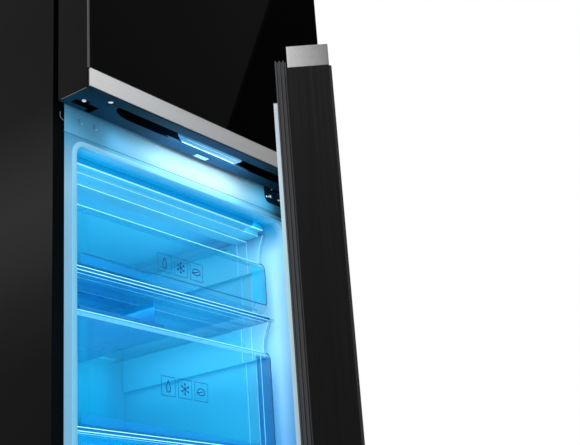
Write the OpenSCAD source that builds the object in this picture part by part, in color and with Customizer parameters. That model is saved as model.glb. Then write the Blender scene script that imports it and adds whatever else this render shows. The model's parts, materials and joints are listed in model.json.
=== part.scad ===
// Fridge freezer with the freezer below: upper door shut, freezer door part open on its right hinge.
// It is drawn with the shut door fronts at y = 0, the cabinet's middle at x = 0 and the floor at z = 0.
// Each node is then shifted, so that the middle of the whole part's footprint is the origin.

/* [Cabinet] */
// Width of the cabinet and of both doors
cab_w = 595; // [580:1:620]
// Height of the cabinet's top above the floor
cab_h = 1990; // [1970:1:2030]
// Depth from the shut door fronts to the rear panel
cab_d = 640; // [636:1:670]
// Depth from the shut door fronts to the cabinet's front plane
face_y = 77; // [76.5:0.1:78]
// Thickness of the steel sheets
sheet_t = 1.2; // [0.8:0.1:1.4]
// Width of the folded steel edge round the cabinet's front
fold_w = 22; // [18:1:24]
// Distance from a side's outer face to the inner liner face
wall_t = 45; // [43:1:50]
// Distance from the cabinet's top down to the fridge ceiling
roof_t = 40; // [38:1:50]
// How far the rear spacers stand off the rear panel
spacer_len = 10; // [5:1:20]

/* [Liners] */
// Thickness of the plastic liners
liner_t = 2; // [1.5:0.1:2.5]
// Corner radius of both compartments
liner_r = 16; // [10:1:20]
// Rise of the fridge floor over the fridge door's lower edge
floor_rise = 47; // [40:1:55]
// Thickness of the wall behind the fridge compartment
fridge_rear = 62; // [56:1:70]
// Drop of the freezer ceiling below the fridge door's lower edge
ceiling_drop = 52; // [47:1:57]
// Height of the freezer floor
freezer_floor = 92; // [88:1:100]
// Thickness of the wall behind the freezer compartment
freezer_rear = 80; // [70:1:86]
// Distance from the freezer's step to the compressor bay
step_wall = 45; // [40:1:50]
// Height of the step over the compressor bay
step_rise = 43; // [38:1:48]
// Width of the raised lip round the freezer opening
lip_w = 8; // [5:1:8]
// Height of the raised lip
lip_t = 1.5; // [0.5:0.1:1.5]
// Drop of the crossbar cover's lower seam below the fridge door
seam_drop = 37.8; // [35:0.1:41]
// Rise of the crossbar cover behind the fridge door
bar_rise = 25; // [23:1:31]
// Height of the shelf ledges
ledge_t = 6; // [4:1:8]
// Width of the shelf ledges
ledge_w = 9; // [7:1:9]

/* [Doors] */
// Angle at which the freezer door stands open
door_angle = 35.7; // [20:0.1:60]
// Height of the fridge door's lower edge
split_z = 765; // [760:1:768]
// Gap between the two doors
door_gap = 4.5; // [4:0.1:6]
// Gap over the fridge door, under the top hinge
head_gap = 4; // [3:0.1:6]
// Height of the freezer door's lower edge
door_z = 50; // [49:1:54]
// Thickness of the door glass
glass_t = 4; // [3:0.1:5]
// Bevel along the upright edges of the glass
bevel = 1.5; // [0.5:0.1:2]
// Depth of the fridge door's side plate
fridge_side = 66; // [62:0.1:67]
// Depth of the freezer door's side plate
freezer_side = 61; // [58:0.1:62]
// Height of the door caps
cap_h = 20; // [16:1:24]
// Distance of the hinge axis from the side of the cabinet
pin_in = 20; // [18:0.5:21]
// Distance of the hinge axis behind the door fronts
pin_y = 45; // [44:0.5:46]
// Radius of the hinge pins
pin_r = 4; // [3:0.1:4.5]
// Running clearance of a pin in its bore
pin_clear = 0.08; // [0.03:0.01:0.1]
// Thickness of the hinge plates
hinge_t = 3; // [2:0.1:3.2]
// Inset of the gaskets from the door sides
seal_in = 19; // [18.5:0.1:21]
// Inset of the gaskets from the door's top and bottom edges
seal_end = 11; // [10:0.1:13]
// Width of the gaskets
seal_w = 15; // [12:0.5:15]
// Gap between a shut gasket and the cabinet
seal_gap = 0.3; // [0.2:0.1:0.6]
// Height of the silver strip on the fridge door
strip_h = 29; // [20:0.5:34]
// Height of the silver rail on top of the freezer door
rail_h = 32; // [26:0.5:34]
// How far the silver rail lies behind the glass front
rail_set = 3; // [1:0.1:3.5]
// Rise of the freezer door's inner panel over its edge
plinth_t = 19.5; // [14:0.5:21]
// Inset of the inner panels' raised parts from the door sides
plinth_in = 57.5; // [56:0.5:64]
// Height of the freezer ceiling over the raised panel
plinth_gap = 3; // [2:0.5:12]
// Thickness of the inner panels
pan_t = 2; // [1.5:0.1:2.5]

/* [Handle recess] */
// Distance of the handle recess from the door sides
grip_in = 77.5; // [74:0.5:110]
// Front edge of the handle recess
grip_y = 19.5; // [16:0.5:22]
// Width of the handle recess from front to back
grip_w = 23; // [18:0.5:24]
// Depth of the handle recess
grip_deep = 28; // [20:1:34]
// Length over which the recess narrows at each end
grip_end = 46; // [30:1:60]
// Height of the fridge door's lower cap
grip_cap = 36; // [32:1:44]
// Left end of the lamp lens, from the door's middle
lens_x0 = -86; // [-110:1:-70]
// Right end of the lamp lens, from the door's middle
lens_x1 = 73; // [50:1:110]
// Slant of the lens's left end
lens_slant = 28; // [0:1:34]
// Depth of the lamp lens
lens_t = 8; // [5:0.5:10]

/* [Freezer] */
// Front face of the freezer drawers
drawer_y = 108; // [104:1:112]
// Gap between a drawer front and the side wall
front_gap = 26; // [25:0.5:36]
// Corner radius of the drawer fronts
front_r = 12; // [6:1:16]
// Distance from a drawer tub to the side wall
tub_gap = 52.5; // [44:0.5:60]
// Wall thickness of the drawers
drawer_t = 2.5; // [2:0.1:3]
// Curve radius at the foot of a drawer front
foot_r = 20; // [14:1:24]
// Gap behind the upper and middle drawers
tub_rear = 24; // [14:1:50]
// Gap behind the lower drawer
low_rear = 13; // [8:1:30]
// Height from the upper glass shelf to the ceiling
upper_room = 173; // [165:1:180]
// Height of the lower glass shelf over the step
low_room = 31; // [28:1:35]
// Thickness of the glass shelves
shelf_t = 4; // [3:0.1:5]
// Height of the trims on the shelves' front edges
edge_h = 6.5; // [5:0.1:9]
// Distance of these trims' ends from the side walls
edge_gap = 20.5; // [12:0.5:24]
// Height of the stepped trim under the ceiling
trim_drop = 23; // [20:0.5:26]
// Depth of that trim
trim_deep = 67; // [50:1:80]
// Gap above the sides of a drawer
side_gap = 10; // [6:0.5:14]
// Height of the upper drawer's sides over its front
dip_up = 44; // [30:1:50]
// Height of the middle drawer's sides over its front
dip_mid = 53; // [30:1:58]
// Height of the lower drawer's sides over its front
dip_low = 57; // [30:1:62]
// Depth of the space behind the evaporator cover
evap_room = 66; // [60:1:70]
// Height of the evaporator
evap_h = 154; // [100:1:160]
// Radius of the evaporator's fan
evap_fan_r = 50; // [40:1:54]
// Height of the ice maker
ice_h = 67; // [50:1:75]
// Gap between the ice maker and the upper shelf
ice_drop = 44; // [30:1:50]
// Depth of the ice maker
ice_deep = 180; // [140:1:200]
// Width of the ice maker
ice_w = 182; // [170:1:190]
// Width of the ice maker's level bottom
ice_flat = 62; // [50:1:75]

/* [Fridge] */
// Front edge of the fridge shelves
shelf_y = 200; // [190:1:220]
// Gap behind the fridge shelves
shelf_rear = 38; // [20:1:50]
// Height of the first fridge shelf over the fridge floor
first_shelf = 224; // [180:1:240]
// Height of the lowest door bin over the fridge floor
first_bin = 38; // [30:1:50]
// Depth of the door bins
bin_d = 108; // [90:1:112]
// Height of the door bins
bin_h = 84; // [60:1:100]
// Gap above the vegetable drawer
crisper_gap = 28; // [20:1:60]
// Width of the air duct
duct_w = 160; // [120:1:200]
// Depth of the air duct
duct_d = 16; // [12:1:24]
// Width of the ceiling lamp
lamp_w = 220; // [150:1:300]
// Drop of the ceiling lamp
lamp_h = 9; // [6:1:14]
// Depth of the ceiling lamp
lamp_d = 70; // [50:1:90]

/* [Compressor bay] */
// Depth of the compressor bay
bay_deep = 210; // [205:1:214]
// Ceiling of the compressor bay
bay_top = 229; // [226:1:231]
// Radius of the compressor shell
comp_r = 76; // [65:1:80]
// Height of the compressor shell
comp_h = 140; // [120:1:142]
// Width of the compressor's foot plate
sole_w = 196; // [184:2:204]
// Depth of the compressor's foot plate
sole_d = 84; // [76:2:92]
// Width of the drip tray over the compressor
drip_w = 184; // [170:2:196]
// Depth of the drip tray
drip_d = 124; // [110:2:136]
// Distance of the compressor's middle from the cabinet's side
comp_side = 177.5; // [170:0.5:182]
// Distance of the condenser from the cabinet's side
cond_side = 47.5; // [40:0.5:60]
// Width of the condenser
cond_w = 132; // [100:1:140]
// Height of the condenser
cond_h = 152; // [120:1:160]
// Radius of the condenser's fan
fan_r = 53; // [45:1:56]
// Radius of the rear rollers
roller_r = 15; // [12:0.5:16]
// Gap between the rollers and the cabinet's underside
roller_gap = 2; // [1:0.5:4]
// Radius of the front foot pads
foot_pad = 20; // [16:0.5:24]

/* [Hidden] */
$fn = 48;

// Sizes worked out from the values above
half_w = cab_w / 2;
in_w = half_w - wall_t;
fold_x = half_w - fold_w;
base_z = 2 * roller_r + roller_gap;
tray_top = base_z + sheet_t;
seat_gap = 0.3;

bay_y = cab_d - bay_deep;
bay_mid = cab_d - bay_deep / 2;
fridge_floor = split_z + floor_rise;
fridge_top = cab_h - roof_t;
fridge_back = cab_d - fridge_rear;
shelf_back = fridge_back - shelf_rear;
shelf_step = (fridge_top - fridge_floor - first_shelf) / 3;
shelf_z = [for (k = [0 : 2]) fridge_floor + first_shelf + shelf_step * k];
bin_step = (fridge_top - fridge_floor - first_bin - 20) / 3;
bin_z = [for (k = [0 : 2]) fridge_floor + first_bin + bin_step * k];
crisper_h = first_shelf - crisper_gap;

seam_z = split_z - seam_drop;
bar_top = split_z + bar_rise;
freezer_top = split_z - ceiling_drop;
freezer_back = cab_d - freezer_rear;
hump_y = bay_y - step_wall;
hump_z = bay_top + step_rise;
evap_y = freezer_back - evap_room;
freezer_ledge_back = evap_y - 6;
shelf_up = freezer_top - upper_room;
shelf_low = hump_z + low_room;
trim_y = drawer_y;
front_half = in_w - front_gap;
tub_half = in_w - tub_gap;
tub_back = evap_y - tub_rear;
low_back = hump_y - low_rear;
side_up = freezer_top - trim_drop - side_gap;
side_mid = shelf_up - shelf_t - side_gap;
side_low = shelf_low - shelf_t - side_gap;

pin_x = half_w - pin_in;
freezer_door_top = split_z - door_gap;
fridge_door_top = cab_h - head_gap;
arm_z = split_z - (door_gap + hinge_t) / 2;
foot_arm_z = door_z - 4 - hinge_t;
skin = sheet_t;
cap_half = half_w - skin;
seal_half = half_w - seal_in;
plinth_half = half_w - plinth_in;
seal_back = face_y - seal_gap;
plinth_face = freezer_side + pan_t + plinth_t;
plinth_low = freezer_floor + 18;
plinth_top = freezer_top - plinth_gap;
pan_in = seal_in + seal_w + seat_gap;
pan_end = seal_end + seal_w + seat_gap;
return_w = pan_in + 1.2;
grip_half = half_w - grip_in;
rail_z = freezer_door_top - rail_h;
strip_z = split_z + 2.8;
glass_low = strip_z + strip_h + 0.3;

axle_y = cab_d - 50;
axle_r = 4;
roller_x = half_w - 57;
roller_w = 20;
foot_x = half_w - 48;
foot_y = face_y + 33;
stem_r = 5;

comp_x = half_w - comp_side;
comp_z = tray_top + 15;
cond_x0 = cond_side - half_w;
cond_x1 = cond_x0 + cond_w;
cond_y0 = bay_y + 48;
cond_y1 = cab_d - 44;
cond_z0 = tray_top + 8;
cond_z1 = cond_z0 + cond_h;
fan_x = cond_x1 + 56;
fan_z = tray_top + 88;
ring_r = fan_r + 7;
evap_half = in_w - 84;
evap_z0 = hump_z + 60;
evap_z1 = evap_z0 + evap_h;
evap_fan_z = freezer_top - 113;
evap_fan_y = evap_y + 26;

// The footprint's middle, from the corners of the open door and the rear spacers
function swung_x(x, y) = pin_x + (x - pin_x) * cos(door_angle) - (y - pin_y) * sin(door_angle);
function swung_y(x, y) = pin_y + (x - pin_x) * sin(door_angle) + (y - pin_y) * cos(door_angle);
reach_right = max(swung_x(half_w - bevel, 0), swung_x(half_w, bevel), half_w);
reach_front = min(swung_y(bevel - half_w, 0), swung_y(-half_w, bevel));
middle_x = (reach_right - half_w) / 2;
middle_y = (reach_front + cab_d + spacer_len) / 2;

module place() translate([-middle_x, -middle_y, 0]) children();

module on_freezer_door()
    place() translate([pin_x, pin_y, 0]) rotate([0, 0, door_angle]) translate([-pin_x, -pin_y, 0])
        children();

// Shared shapes
module slab(x0, x1, y0, y1, z0, z1) translate([x0, y0, z0]) cube([x1 - x0, y1 - y0, z1 - z0]);

module both_sides() {
    children();
    mirror([1, 0, 0]) children();
}

function round_rect(hw, z0, z1, r) = [
    for (c = [[hw - r, z1 - r, 0], [r - hw, z1 - r, 90], [r - hw, z0 + r, 180], [hw - r, z0 + r, 270]])
        for (k = [0 : 6]) [c[0] + r * cos(c[2] + 15 * k), c[1] + r * sin(c[2] + 15 * k)]];

module tunnel(hw, z0, z1, r, y0, y1)
    translate([0, y1, 0]) rotate([90, 0, 0]) linear_extrude(y1 - y0) polygon(round_rect(hw, z0, z1, r));

// A profile drawn as points of y and z, run from x0 to x1
module run_x(x0, x1, points)
    translate([x0, 0, 0]) rotate([90, 0, 90]) linear_extrude(x1 - x0) polygon(points);

module rod_y(x, z, r, y0, y1) translate([x, y0, z]) rotate([-90, 0, 0]) cylinder(r = r, h = y1 - y0);
module rod_x(y, z, r, x0, x1) translate([x0, y, z]) rotate([0, 90, 0]) cylinder(r = r, h = x1 - x0);
module rod_z(x, y, r, z0, z1) translate([x, y, z0]) cylinder(r = r, h = z1 - z0);

// Cabinet
module outer_shell() color([0.09, 0.09, 0.1]) place() difference() {
    slab(-half_w, half_w, face_y, cab_d, base_z, cab_h);
    slab(sheet_t - half_w, half_w - sheet_t, face_y + sheet_t, cab_d + 1, base_z - 1, cab_h - sheet_t);
    slab(-fold_x, fold_x, face_y - 1, face_y + 2 * sheet_t, base_z - 1, cab_h - fold_w);
}

spacer_x = half_w - 60;
module rear_panel() color([0.25, 0.25, 0.26]) place() {
    slab(sheet_t - half_w, half_w - sheet_t, cab_d - sheet_t, cab_d, bay_top + sheet_t, cab_h - sheet_t);
    both_sides() rod_y(spacer_x, cab_h - 90, 9, cab_d, cab_d + spacer_len);
}

rail_top = 61;
module base_tray() color([0.2, 0.2, 0.21]) place() difference() {
    union() {
        slab(sheet_t - half_w, half_w - sheet_t, face_y + 2 * sheet_t, cab_d - sheet_t, base_z, tray_top);
        slab(-fold_x, fold_x, face_y, face_y + 2 * sheet_t, base_z, rail_top);
        slab(sheet_t - half_w, half_w - sheet_t, bay_y, bay_y + sheet_t, base_z, bay_top);
        slab(sheet_t - half_w, half_w - sheet_t, bay_y, cab_d - sheet_t, bay_top, bay_top + sheet_t);
        both_sides() for (dx = [-roller_w / 2 - 4.5, roller_w / 2 + 1.5])
            slab(roller_x + dx, roller_x + dx + 3, axle_y - 10, axle_y + 10, roller_r - 8, base_z);
        both_sides() rod_z(foot_x, foot_y, 11, base_z - 14, base_z);
    }
    both_sides() rod_x(axle_y, roller_r, axle_r + pin_clear, roller_x - 20, roller_x + 20);
    both_sides() rod_z(foot_x, foot_y, stem_r + pin_clear, base_z - 20, tray_top + 1);
}

module insulation_foam() color([0.93, 0.88, 0.66]) place() difference() {
    slab(sheet_t - half_w, half_w - sheet_t, face_y + 2 * sheet_t, cab_d - sheet_t, tray_top,
        cab_h - sheet_t);
    fridge_hollow(liner_t, 0);
    freezer_hollow(liner_t, 0);
    slab(-half_w, half_w, bay_y, cab_d, base_z, bay_top + sheet_t);
    hinge_plate(1, face_y, face_y + hinge_t + seat_gap);
}

// Liners
module fridge_hollow(grow, front)
    tunnel(in_w + grow, fridge_floor - grow, fridge_top + grow, liner_r + grow, face_y - front,
        fridge_back + grow);

module freezer_hollow(grow, front) {
    tunnel(in_w + grow, freezer_floor - grow, freezer_top + grow, liner_r + grow, face_y - front,
        hump_y + grow);
    tunnel(in_w + grow, hump_z - grow, freezer_top + grow, liner_r + grow, hump_y - 1,
        freezer_back + grow);
}

module wall_ledges(top, y0, y1)
    both_sides() slab(in_w - ledge_w, in_w + liner_t / 2, y0, y1, top - ledge_t, top);

// A raised block on each side wall beside a drawer, with an S-shaped front edge
module wall_block(top, low, back)
    both_sides() run_x(in_w - ledge_w, in_w + liner_t / 2, concat(
        [for (k = [0 : 8]) [trim_y + 14 + 14 * sin(15 * k), top - (top - low) * k / 8]],
        [[back, low], [back, top]]));

module fridge_liner() color([0.95, 0.96, 0.97]) place() {
    difference() {
        union() {
            fridge_hollow(liner_t, 0);
            slab(-fold_x, fold_x, face_y, face_y + liner_t, bar_top, cab_h - fold_w);
        }
        fridge_hollow(0, 1);
    }
    for (z = shelf_z) wall_ledges(z - shelf_t, shelf_y + 10, shelf_back);
}

module freezer_liner() color([0.9, 0.95, 0.99]) place() {
    difference() {
        union() {
            freezer_hollow(liner_t, 0);
            slab(-fold_x, fold_x, face_y, face_y + liner_t, rail_top, seam_z);
            tunnel(in_w + lip_w, freezer_floor - lip_w, freezer_top + lip_w, liner_r + lip_w,
                face_y - lip_t, face_y + liner_t);
        }
        freezer_hollow(0, lip_t + 1);
    }
    for (z = [shelf_up, shelf_low]) wall_ledges(z - shelf_t, trim_y + 14, freezer_ledge_back);
    wall_block(freezer_top - 12, side_up - dip_up, freezer_ledge_back);
    wall_block(shelf_up - shelf_t, side_mid - dip_mid, freezer_ledge_back);
    wall_block(shelf_low - shelf_t, side_low - dip_low, hump_y);
}

// Crossbar between the compartments
hinge_x0 = fold_x - 77;
hinge_x1 = fold_x - 3.5;
hinge_z0 = split_z - 22;
hinge_z1 = split_z + 21;
screw_x = [half_w - 84, half_w - 54];
screw_z = split_z - 9.5;
plug_z = split_z - 12.5;
plug_r = 5;

module crossbar_cover() color([0.92, 0.95, 0.98]) place() difference() {
    slab(-fold_x, fold_x, face_y, face_y + liner_t, seam_z, bar_top);
    hinge_plate(seat_gap, face_y - 1, face_y + liner_t + 1);
    for (x = screw_x) rod_y(-x, plug_z, plug_r, face_y - 1, face_y + liner_t + 1);
}

module hole_plugs() color([0.85, 0.9, 0.95]) place()
    for (x = screw_x) difference() {
        rod_y(-x, plug_z, plug_r - 0.1, face_y + 0.1, face_y + liner_t);
        rod_y(-x, plug_z, plug_r - 2, face_y, face_y + 0.9);
    }

// The middle hinge's plate, rounded at its lower left corner and grown all round
plate_r = 12;
module hinge_plate(grow, y0, y1)
    translate([0, y1, 0]) rotate([90, 0, 0]) linear_extrude(y1 - y0) polygon(concat(
        [[hinge_x1 + grow, hinge_z0 - grow], [hinge_x1 + grow, hinge_z1 + grow],
            [hinge_x0 - grow, hinge_z1 + grow]],
        [for (k = [0 : 6]) [hinge_x0 + plate_r - (plate_r + grow) * cos(15 * k),
            hinge_z0 + plate_r - (plate_r + grow) * sin(15 * k)]]));

// Hinges: a flat arm carries the pin, which stands in the gap beside each door
module hinge_arm(x0, x1, root_y, z0) {
    translate([0, 0, z0]) linear_extrude(hinge_t) polygon([[x0, root_y], [x1, root_y],
        [pin_x + 10, pin_y + 8], [pin_x + 8, pin_y - 8], [pin_x - 8, pin_y - 8], [pin_x - 16, pin_y + 8],
        [x0, root_y - 7]]);
    rod_z(pin_x, pin_y, 12, z0, z0 + hinge_t);
}

module pin_hole() rod_z(pin_x, pin_y, pin_r + pin_clear, 0, cab_h + 50);

module middle_hinge() color([0.08, 0.08, 0.09]) place() difference() {
    union() {
        hinge_plate(0, face_y, face_y + hinge_t);
        hinge_arm(hinge_x0 + 20, hinge_x1 - 2, face_y + 1, arm_z);
    }
    pin_hole();
}

top_screws = [[pin_x - 52, face_y + 18], [pin_x - 12, face_y + 18], [pin_x - 32, face_y + 40]];
module top_hinge() color([0.3, 0.3, 0.31]) place() difference() {
    union() {
        slab(pin_x - 62, pin_x - 2, face_y + 6, face_y + 50, cab_h, cab_h + hinge_t);
        hinge_arm(pin_x - 50, pin_x - 4, face_y + 7, cab_h);
    }
    pin_hole();
    for (p = top_screws) rod_z(p[0], p[1], 2.7, cab_h - 1, cab_h + hinge_t + 1);
}

foot_screws = [pin_x - 55, pin_x - 25];
foot_screw_z = 53;
module bottom_hinge() color([0.12, 0.12, 0.13]) place() difference() {
    union() {
        slab(pin_x - 68, pin_x + 6, face_y - hinge_t, face_y, base_z + 3, 58);
        hinge_arm(pin_x - 62, pin_x + 4, face_y - 1, foot_arm_z);
    }
    pin_hole();
    for (x = foot_screws) rod_y(x, foot_screw_z, 2.2, face_y - hinge_t - 1, face_y + 1);
}

module hinge_pins() color([0.75, 0.75, 0.77]) place() {
    rod_z(pin_x, pin_y, pin_r, foot_arm_z, door_z + 16);
    rod_z(pin_x, pin_y, pin_r, freezer_door_top - 17, split_z + 16);
    rod_z(pin_x, pin_y, pin_r, fridge_door_top - 17, cab_h + hinge_t);
}

module hinge_screws() color([0.8, 0.8, 0.82]) place() {
    for (x = screw_x) rod_y(x, screw_z, 3.6, face_y - 1.6, face_y);
    for (p = top_screws) {
        rod_z(p[0], p[1], 5, cab_h + hinge_t, cab_h + hinge_t + 3);
        rod_z(p[0], p[1], 2.5, cab_h, cab_h + hinge_t);
    }
    for (x = foot_screws) {
        rod_y(x, foot_screw_z, 4, face_y - hinge_t - 2.2, face_y - hinge_t);
        rod_y(x, foot_screw_z, 2, face_y - hinge_t, face_y);
    }
}

cover_h = 20;
module hinge_cover() color([0.1, 0.1, 0.11]) place() difference() {
    slab(pin_x - 76, half_w - 1, pin_y - 20, face_y + 62, cab_h, cab_h + cover_h);
    slab(pin_x - 73.5, half_w - 3.5, pin_y - 17.5, face_y + 59.5, cab_h - 1, cab_h + cover_h - 2.5);
}

// Feet and rollers
module front_foot(side) color([0.12, 0.12, 0.13]) place() translate([side * foot_x, foot_y, 0]) {
    cylinder(r = foot_pad, h = 6);
    cylinder(r = 13, h = 13, $fn = 6);
    cylinder(r = stem_r, h = tray_top - 0.5);
}

module rear_roller(side) color([0.15, 0.15, 0.16]) place() {
    difference() {
        rod_x(axle_y, roller_r, roller_r, side * roller_x - roller_w / 2, side * roller_x + roller_w / 2);
        for (s = [-1, 1]) rod_x(axle_y, roller_r, roller_r - 5, side * roller_x + s * roller_w / 2 - 2,
            side * roller_x + s * roller_w / 2 + 2);
    }
    rod_x(axle_y, roller_r, axle_r, side * roller_x - roller_w / 2 - 6, side * roller_x + roller_w / 2 + 6);
    for (k = [0 : 4]) translate([side * roller_x, axle_y, roller_r]) rotate([72 * k, 0, 0])
        slab(-roller_w / 2 + 1, roller_w / 2 - 1, -1.5, 1.5, 3, roller_r - 4);
}

// Compressor bay
dome = [for (k = [0 : 6]) [comp_r * cos(15 * k), comp_h - 46 + 46 * sin(15 * k)]];
sole = [for (k = [0 : 6]) [(comp_r - 14) + 14 * sin(15 * k), 14 - 14 * cos(15 * k)]];
module compressor() color([0.07, 0.07, 0.08]) place() translate([comp_x, bay_mid, comp_z]) {
    translate([0, 0, 3]) rotate_extrude() polygon(concat([[0, 0]], sole, dome));
    slab(-sole_w / 2, sole_w / 2, -sole_d / 2, sole_d / 2, 0, 3);
    for (x = [-1, 1] * (sole_w / 2 - 13), y = [-1, 1] * (sole_d / 2 - 10))
        translate([x, y, tray_top - comp_z]) cylinder(r = 9, h = comp_z - tray_top);
    translate([-comp_r - 18, 0, 60]) rotate([0, 90, 0]) cylinder(r = 4, h = 40);
    translate([-comp_r - 14, 0, 60]) cylinder(r = 4, h = 62);
    slab(comp_r - 6, comp_r + 14, -24, 24, 40, 96);
}

// Fins across a bundle of tubes, which bends round at both ends
module finned_pack(x, y, z, pitch, tubes, r, bend) {
    for (px = [x[0] : pitch : x[1]]) slab(px, px + 0.8, y[0], y[1], z[0], z[1]);
    for (t = tubes) rod_x(t[0], t[1], r, x[0] - 8, x[1] + 8);
    for (k = [0 : 2 : len(tubes) - 2])
        slab(x[1] + 8, x[1] + 8 + 2 * r, tubes[k][0] - r, tubes[k + 1][0] + r, tubes[k][1] - r,
            tubes[k][1] + r);
    for (k = [1 : 2 : len(tubes) - 2])
        slab(x[0] - 8 - 2 * r, x[0] - 8, bend[0], bend[1], tubes[k][1] - r, tubes[k + 1][1] + r);
}

tube_r = 4;
module condenser() color([0.16, 0.16, 0.17]) place() {
    tubes = [for (z = [cond_z0 + 16 : 30 : cond_z1 - 12]) for (y = [cond_y0 + 22, cond_y1 - 22]) [y, z]];
    difference() {
        union() {
            finned_pack([cond_x0, cond_x1], [cond_y0, cond_y1], [cond_z0, cond_z1], 12, tubes, tube_r,
                [cond_y0 + 18, cond_y1 - 18]);
            for (x = [cond_x0, cond_x1]) slab(x, x + 2, cond_y0, cond_y1, tray_top, cond_z1);
            slab(fan_x - 22, fan_x - 19, bay_mid - ring_r - 6, bay_mid + ring_r + 6, tray_top,
                fan_z + ring_r + 6);
            for (a = [0, 90]) translate([fan_x - 20.5, bay_mid, fan_z]) rotate([a, 0, 0])
                slab(-1.5, 1.5, -ring_r - 2, ring_r + 2, -3, 3);
        }
        translate([fan_x - 24, bay_mid, fan_z]) rotate([0, 90, 0]) difference() {
            cylinder(r = ring_r, h = 8);
            for (a = [0, 90]) rotate([0, 0, a]) translate([-3, -ring_r - 2, -1])
                cube([6, 2 * ring_r + 4, 10]);
            translate([0, 0, -1]) cylinder(r = 14, h = 10);
        }
    }
    rod_x(bay_mid, fan_z, 14, fan_x - 22, fan_x - 12);
    rod_x(bay_mid, fan_z, 2, fan_x - 12, fan_x + 4);
}

// A fan on an axis along x, blowing along it
module fan_wheel(r, hub, blades, depth) difference() {
    union() {
        rotate([0, 90, 0]) cylinder(r = hub, h = depth);
        intersection() {
            for (k = [0 : blades - 1]) rotate([360 / blades * k, 0, 0])
                translate([depth / 2, 0, 0]) rotate([0, 0, 32]) slab(-1, 1, -16, 16, hub - 3, r);
            rotate([0, 90, 0]) cylinder(r = r, h = depth);
        }
    }
    translate([-1, 0, 0]) rotate([0, 90, 0]) cylinder(r = 2 + pin_clear, h = depth + 2);
}

module condenser_fan() color([0.85, 0.85, 0.86]) place()
    translate([fan_x - 11, bay_mid, fan_z]) fan_wheel(fan_r, 15, 5, 14);

module drip_tray() color([0.8, 0.82, 0.84]) place() {
    z0 = comp_z + comp_h + 3 + seat_gap;
    difference() {
        slab(comp_x - drip_w / 2, comp_x + drip_w / 2, bay_mid - drip_d / 2, bay_mid + drip_d / 2, z0,
            bay_top - seat_gap);
        slab(comp_x - drip_w / 2 + 2, comp_x + drip_w / 2 - 2, bay_mid - drip_d / 2 + 2,
            bay_mid + drip_d / 2 - 2, z0 + 2, bay_top + 1);
    }
}

inlet_x = -half_w + 82;
inlet_z = tray_top + 60;
module bay_cover() color([0.28, 0.28, 0.29]) place() difference() {
    union() {
        slab(sheet_t - half_w, half_w - sheet_t, cab_d - sheet_t, cab_d, tray_top, bay_top);
        both_sides() rod_y(spacer_x, tray_top + 24, 9, cab_d, cab_d + spacer_len);
    }
    slab(inlet_x - 25, inlet_x + 25, cab_d - 5, cab_d + 5, inlet_z - 15, inlet_z + 15);
    for (x = [-110 : 50 : 190], z = [70 : 14 : 154])
        slab(x, x + 40, cab_d - 5, cab_d + 5, tray_top + z, tray_top + z + 5);
}

module power_inlet() color([0.05, 0.05, 0.05]) place() {
    difference() {
        union() {
            slab(inlet_x - 24.7, inlet_x + 24.7, cab_d - 26, cab_d, inlet_z - 14.7, inlet_z + 14.7);
            slab(inlet_x - 29, inlet_x + 29, cab_d, cab_d + 2.5, inlet_z - 19, inlet_z + 19);
        }
        slab(inlet_x - 13, inlet_x + 13, cab_d - 20, cab_d + 4, inlet_z - 9, inlet_z + 9);
    }
    for (x = [-8, 0, 8]) slab(inlet_x + x - 1.5, inlet_x + x + 1.5, cab_d - 20, cab_d - 4,
        inlet_z - 3, inlet_z + 3);
}

// Cooling in the freezer
module evaporator() color([0.7, 0.72, 0.74]) place() {
    tubes = [for (z = [evap_z0 + 13 : 32 : evap_z1 - 13]) for (y = [evap_y + 22, freezer_back - 14]) [y, z]];
    finned_pack([-evap_half, evap_half], [evap_y + 12, freezer_back - 4], [evap_z0, evap_z1], 14, tubes,
        tube_r, [evap_y + 18, freezer_back - 10]);
    for (x = [-evap_half, evap_half]) slab(x, x + 2, evap_y + 12, freezer_back, evap_z0, evap_z1);
}

module evaporator_cover() color([0.9, 0.93, 0.96]) place() {
    difference() {
        tunnel(in_w - seat_gap, hump_z + seat_gap, freezer_top - seat_gap, liner_r, evap_y, evap_y + 3);
        for (x = [-165 : 110 : 165], z = [hump_z + 58, evap_fan_z - 25, evap_fan_z + 55])
            slab(x - 38, x + 38, evap_y - 1, evap_y + 4, z, z + 8);
    }
    both_sides() for (z = [evap_z0 + 88, evap_fan_z + 40])
        rod_y(in_w - 27.5, z, 6, evap_y + 2, freezer_back);
    rod_y(0, evap_fan_z, 15, evap_y + 2, evap_fan_y - 3);
    rod_y(0, evap_fan_z, 2, evap_y + 2, evap_fan_y + 14);
}

module evaporator_fan() color([0.85, 0.86, 0.88]) place()
    translate([0, evap_fan_y - 2, evap_fan_z]) rotate([0, 0, 90]) fan_wheel(evap_fan_r, 14, 5, 14);

// Fridge compartment
duct_z0 = fridge_floor + 248;
duct_z1 = fridge_top - 70;
duct_face = fridge_back - duct_d;
module fridge_air_duct() color([0.88, 0.9, 0.92]) place() difference() {
    slab(-duct_w / 2, duct_w / 2, duct_face, fridge_back, duct_z0, duct_z1);
    slab(3 - duct_w / 2, duct_w / 2 - 3, duct_face + 3, fridge_back + 1, duct_z0 + 3, duct_z1 - 3);
    for (z = [duct_z0 + 60 : 150 : duct_z1 - 60], x = [-1, 1])
        slab(x * 34 - 22, x * 34 + 22, duct_face - 1, duct_face + 4, z, z + 8);
}

lamp_y = shelf_y + 60;
module fridge_lamp() color([0.97, 0.98, 1]) place() run_x(-lamp_w / 2, lamp_w / 2, [[lamp_y, fridge_top],
    [lamp_y + 8, fridge_top - lamp_h], [lamp_y + lamp_d - 8, fridge_top - lamp_h],
    [lamp_y + lamp_d, fridge_top]]);

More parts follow.
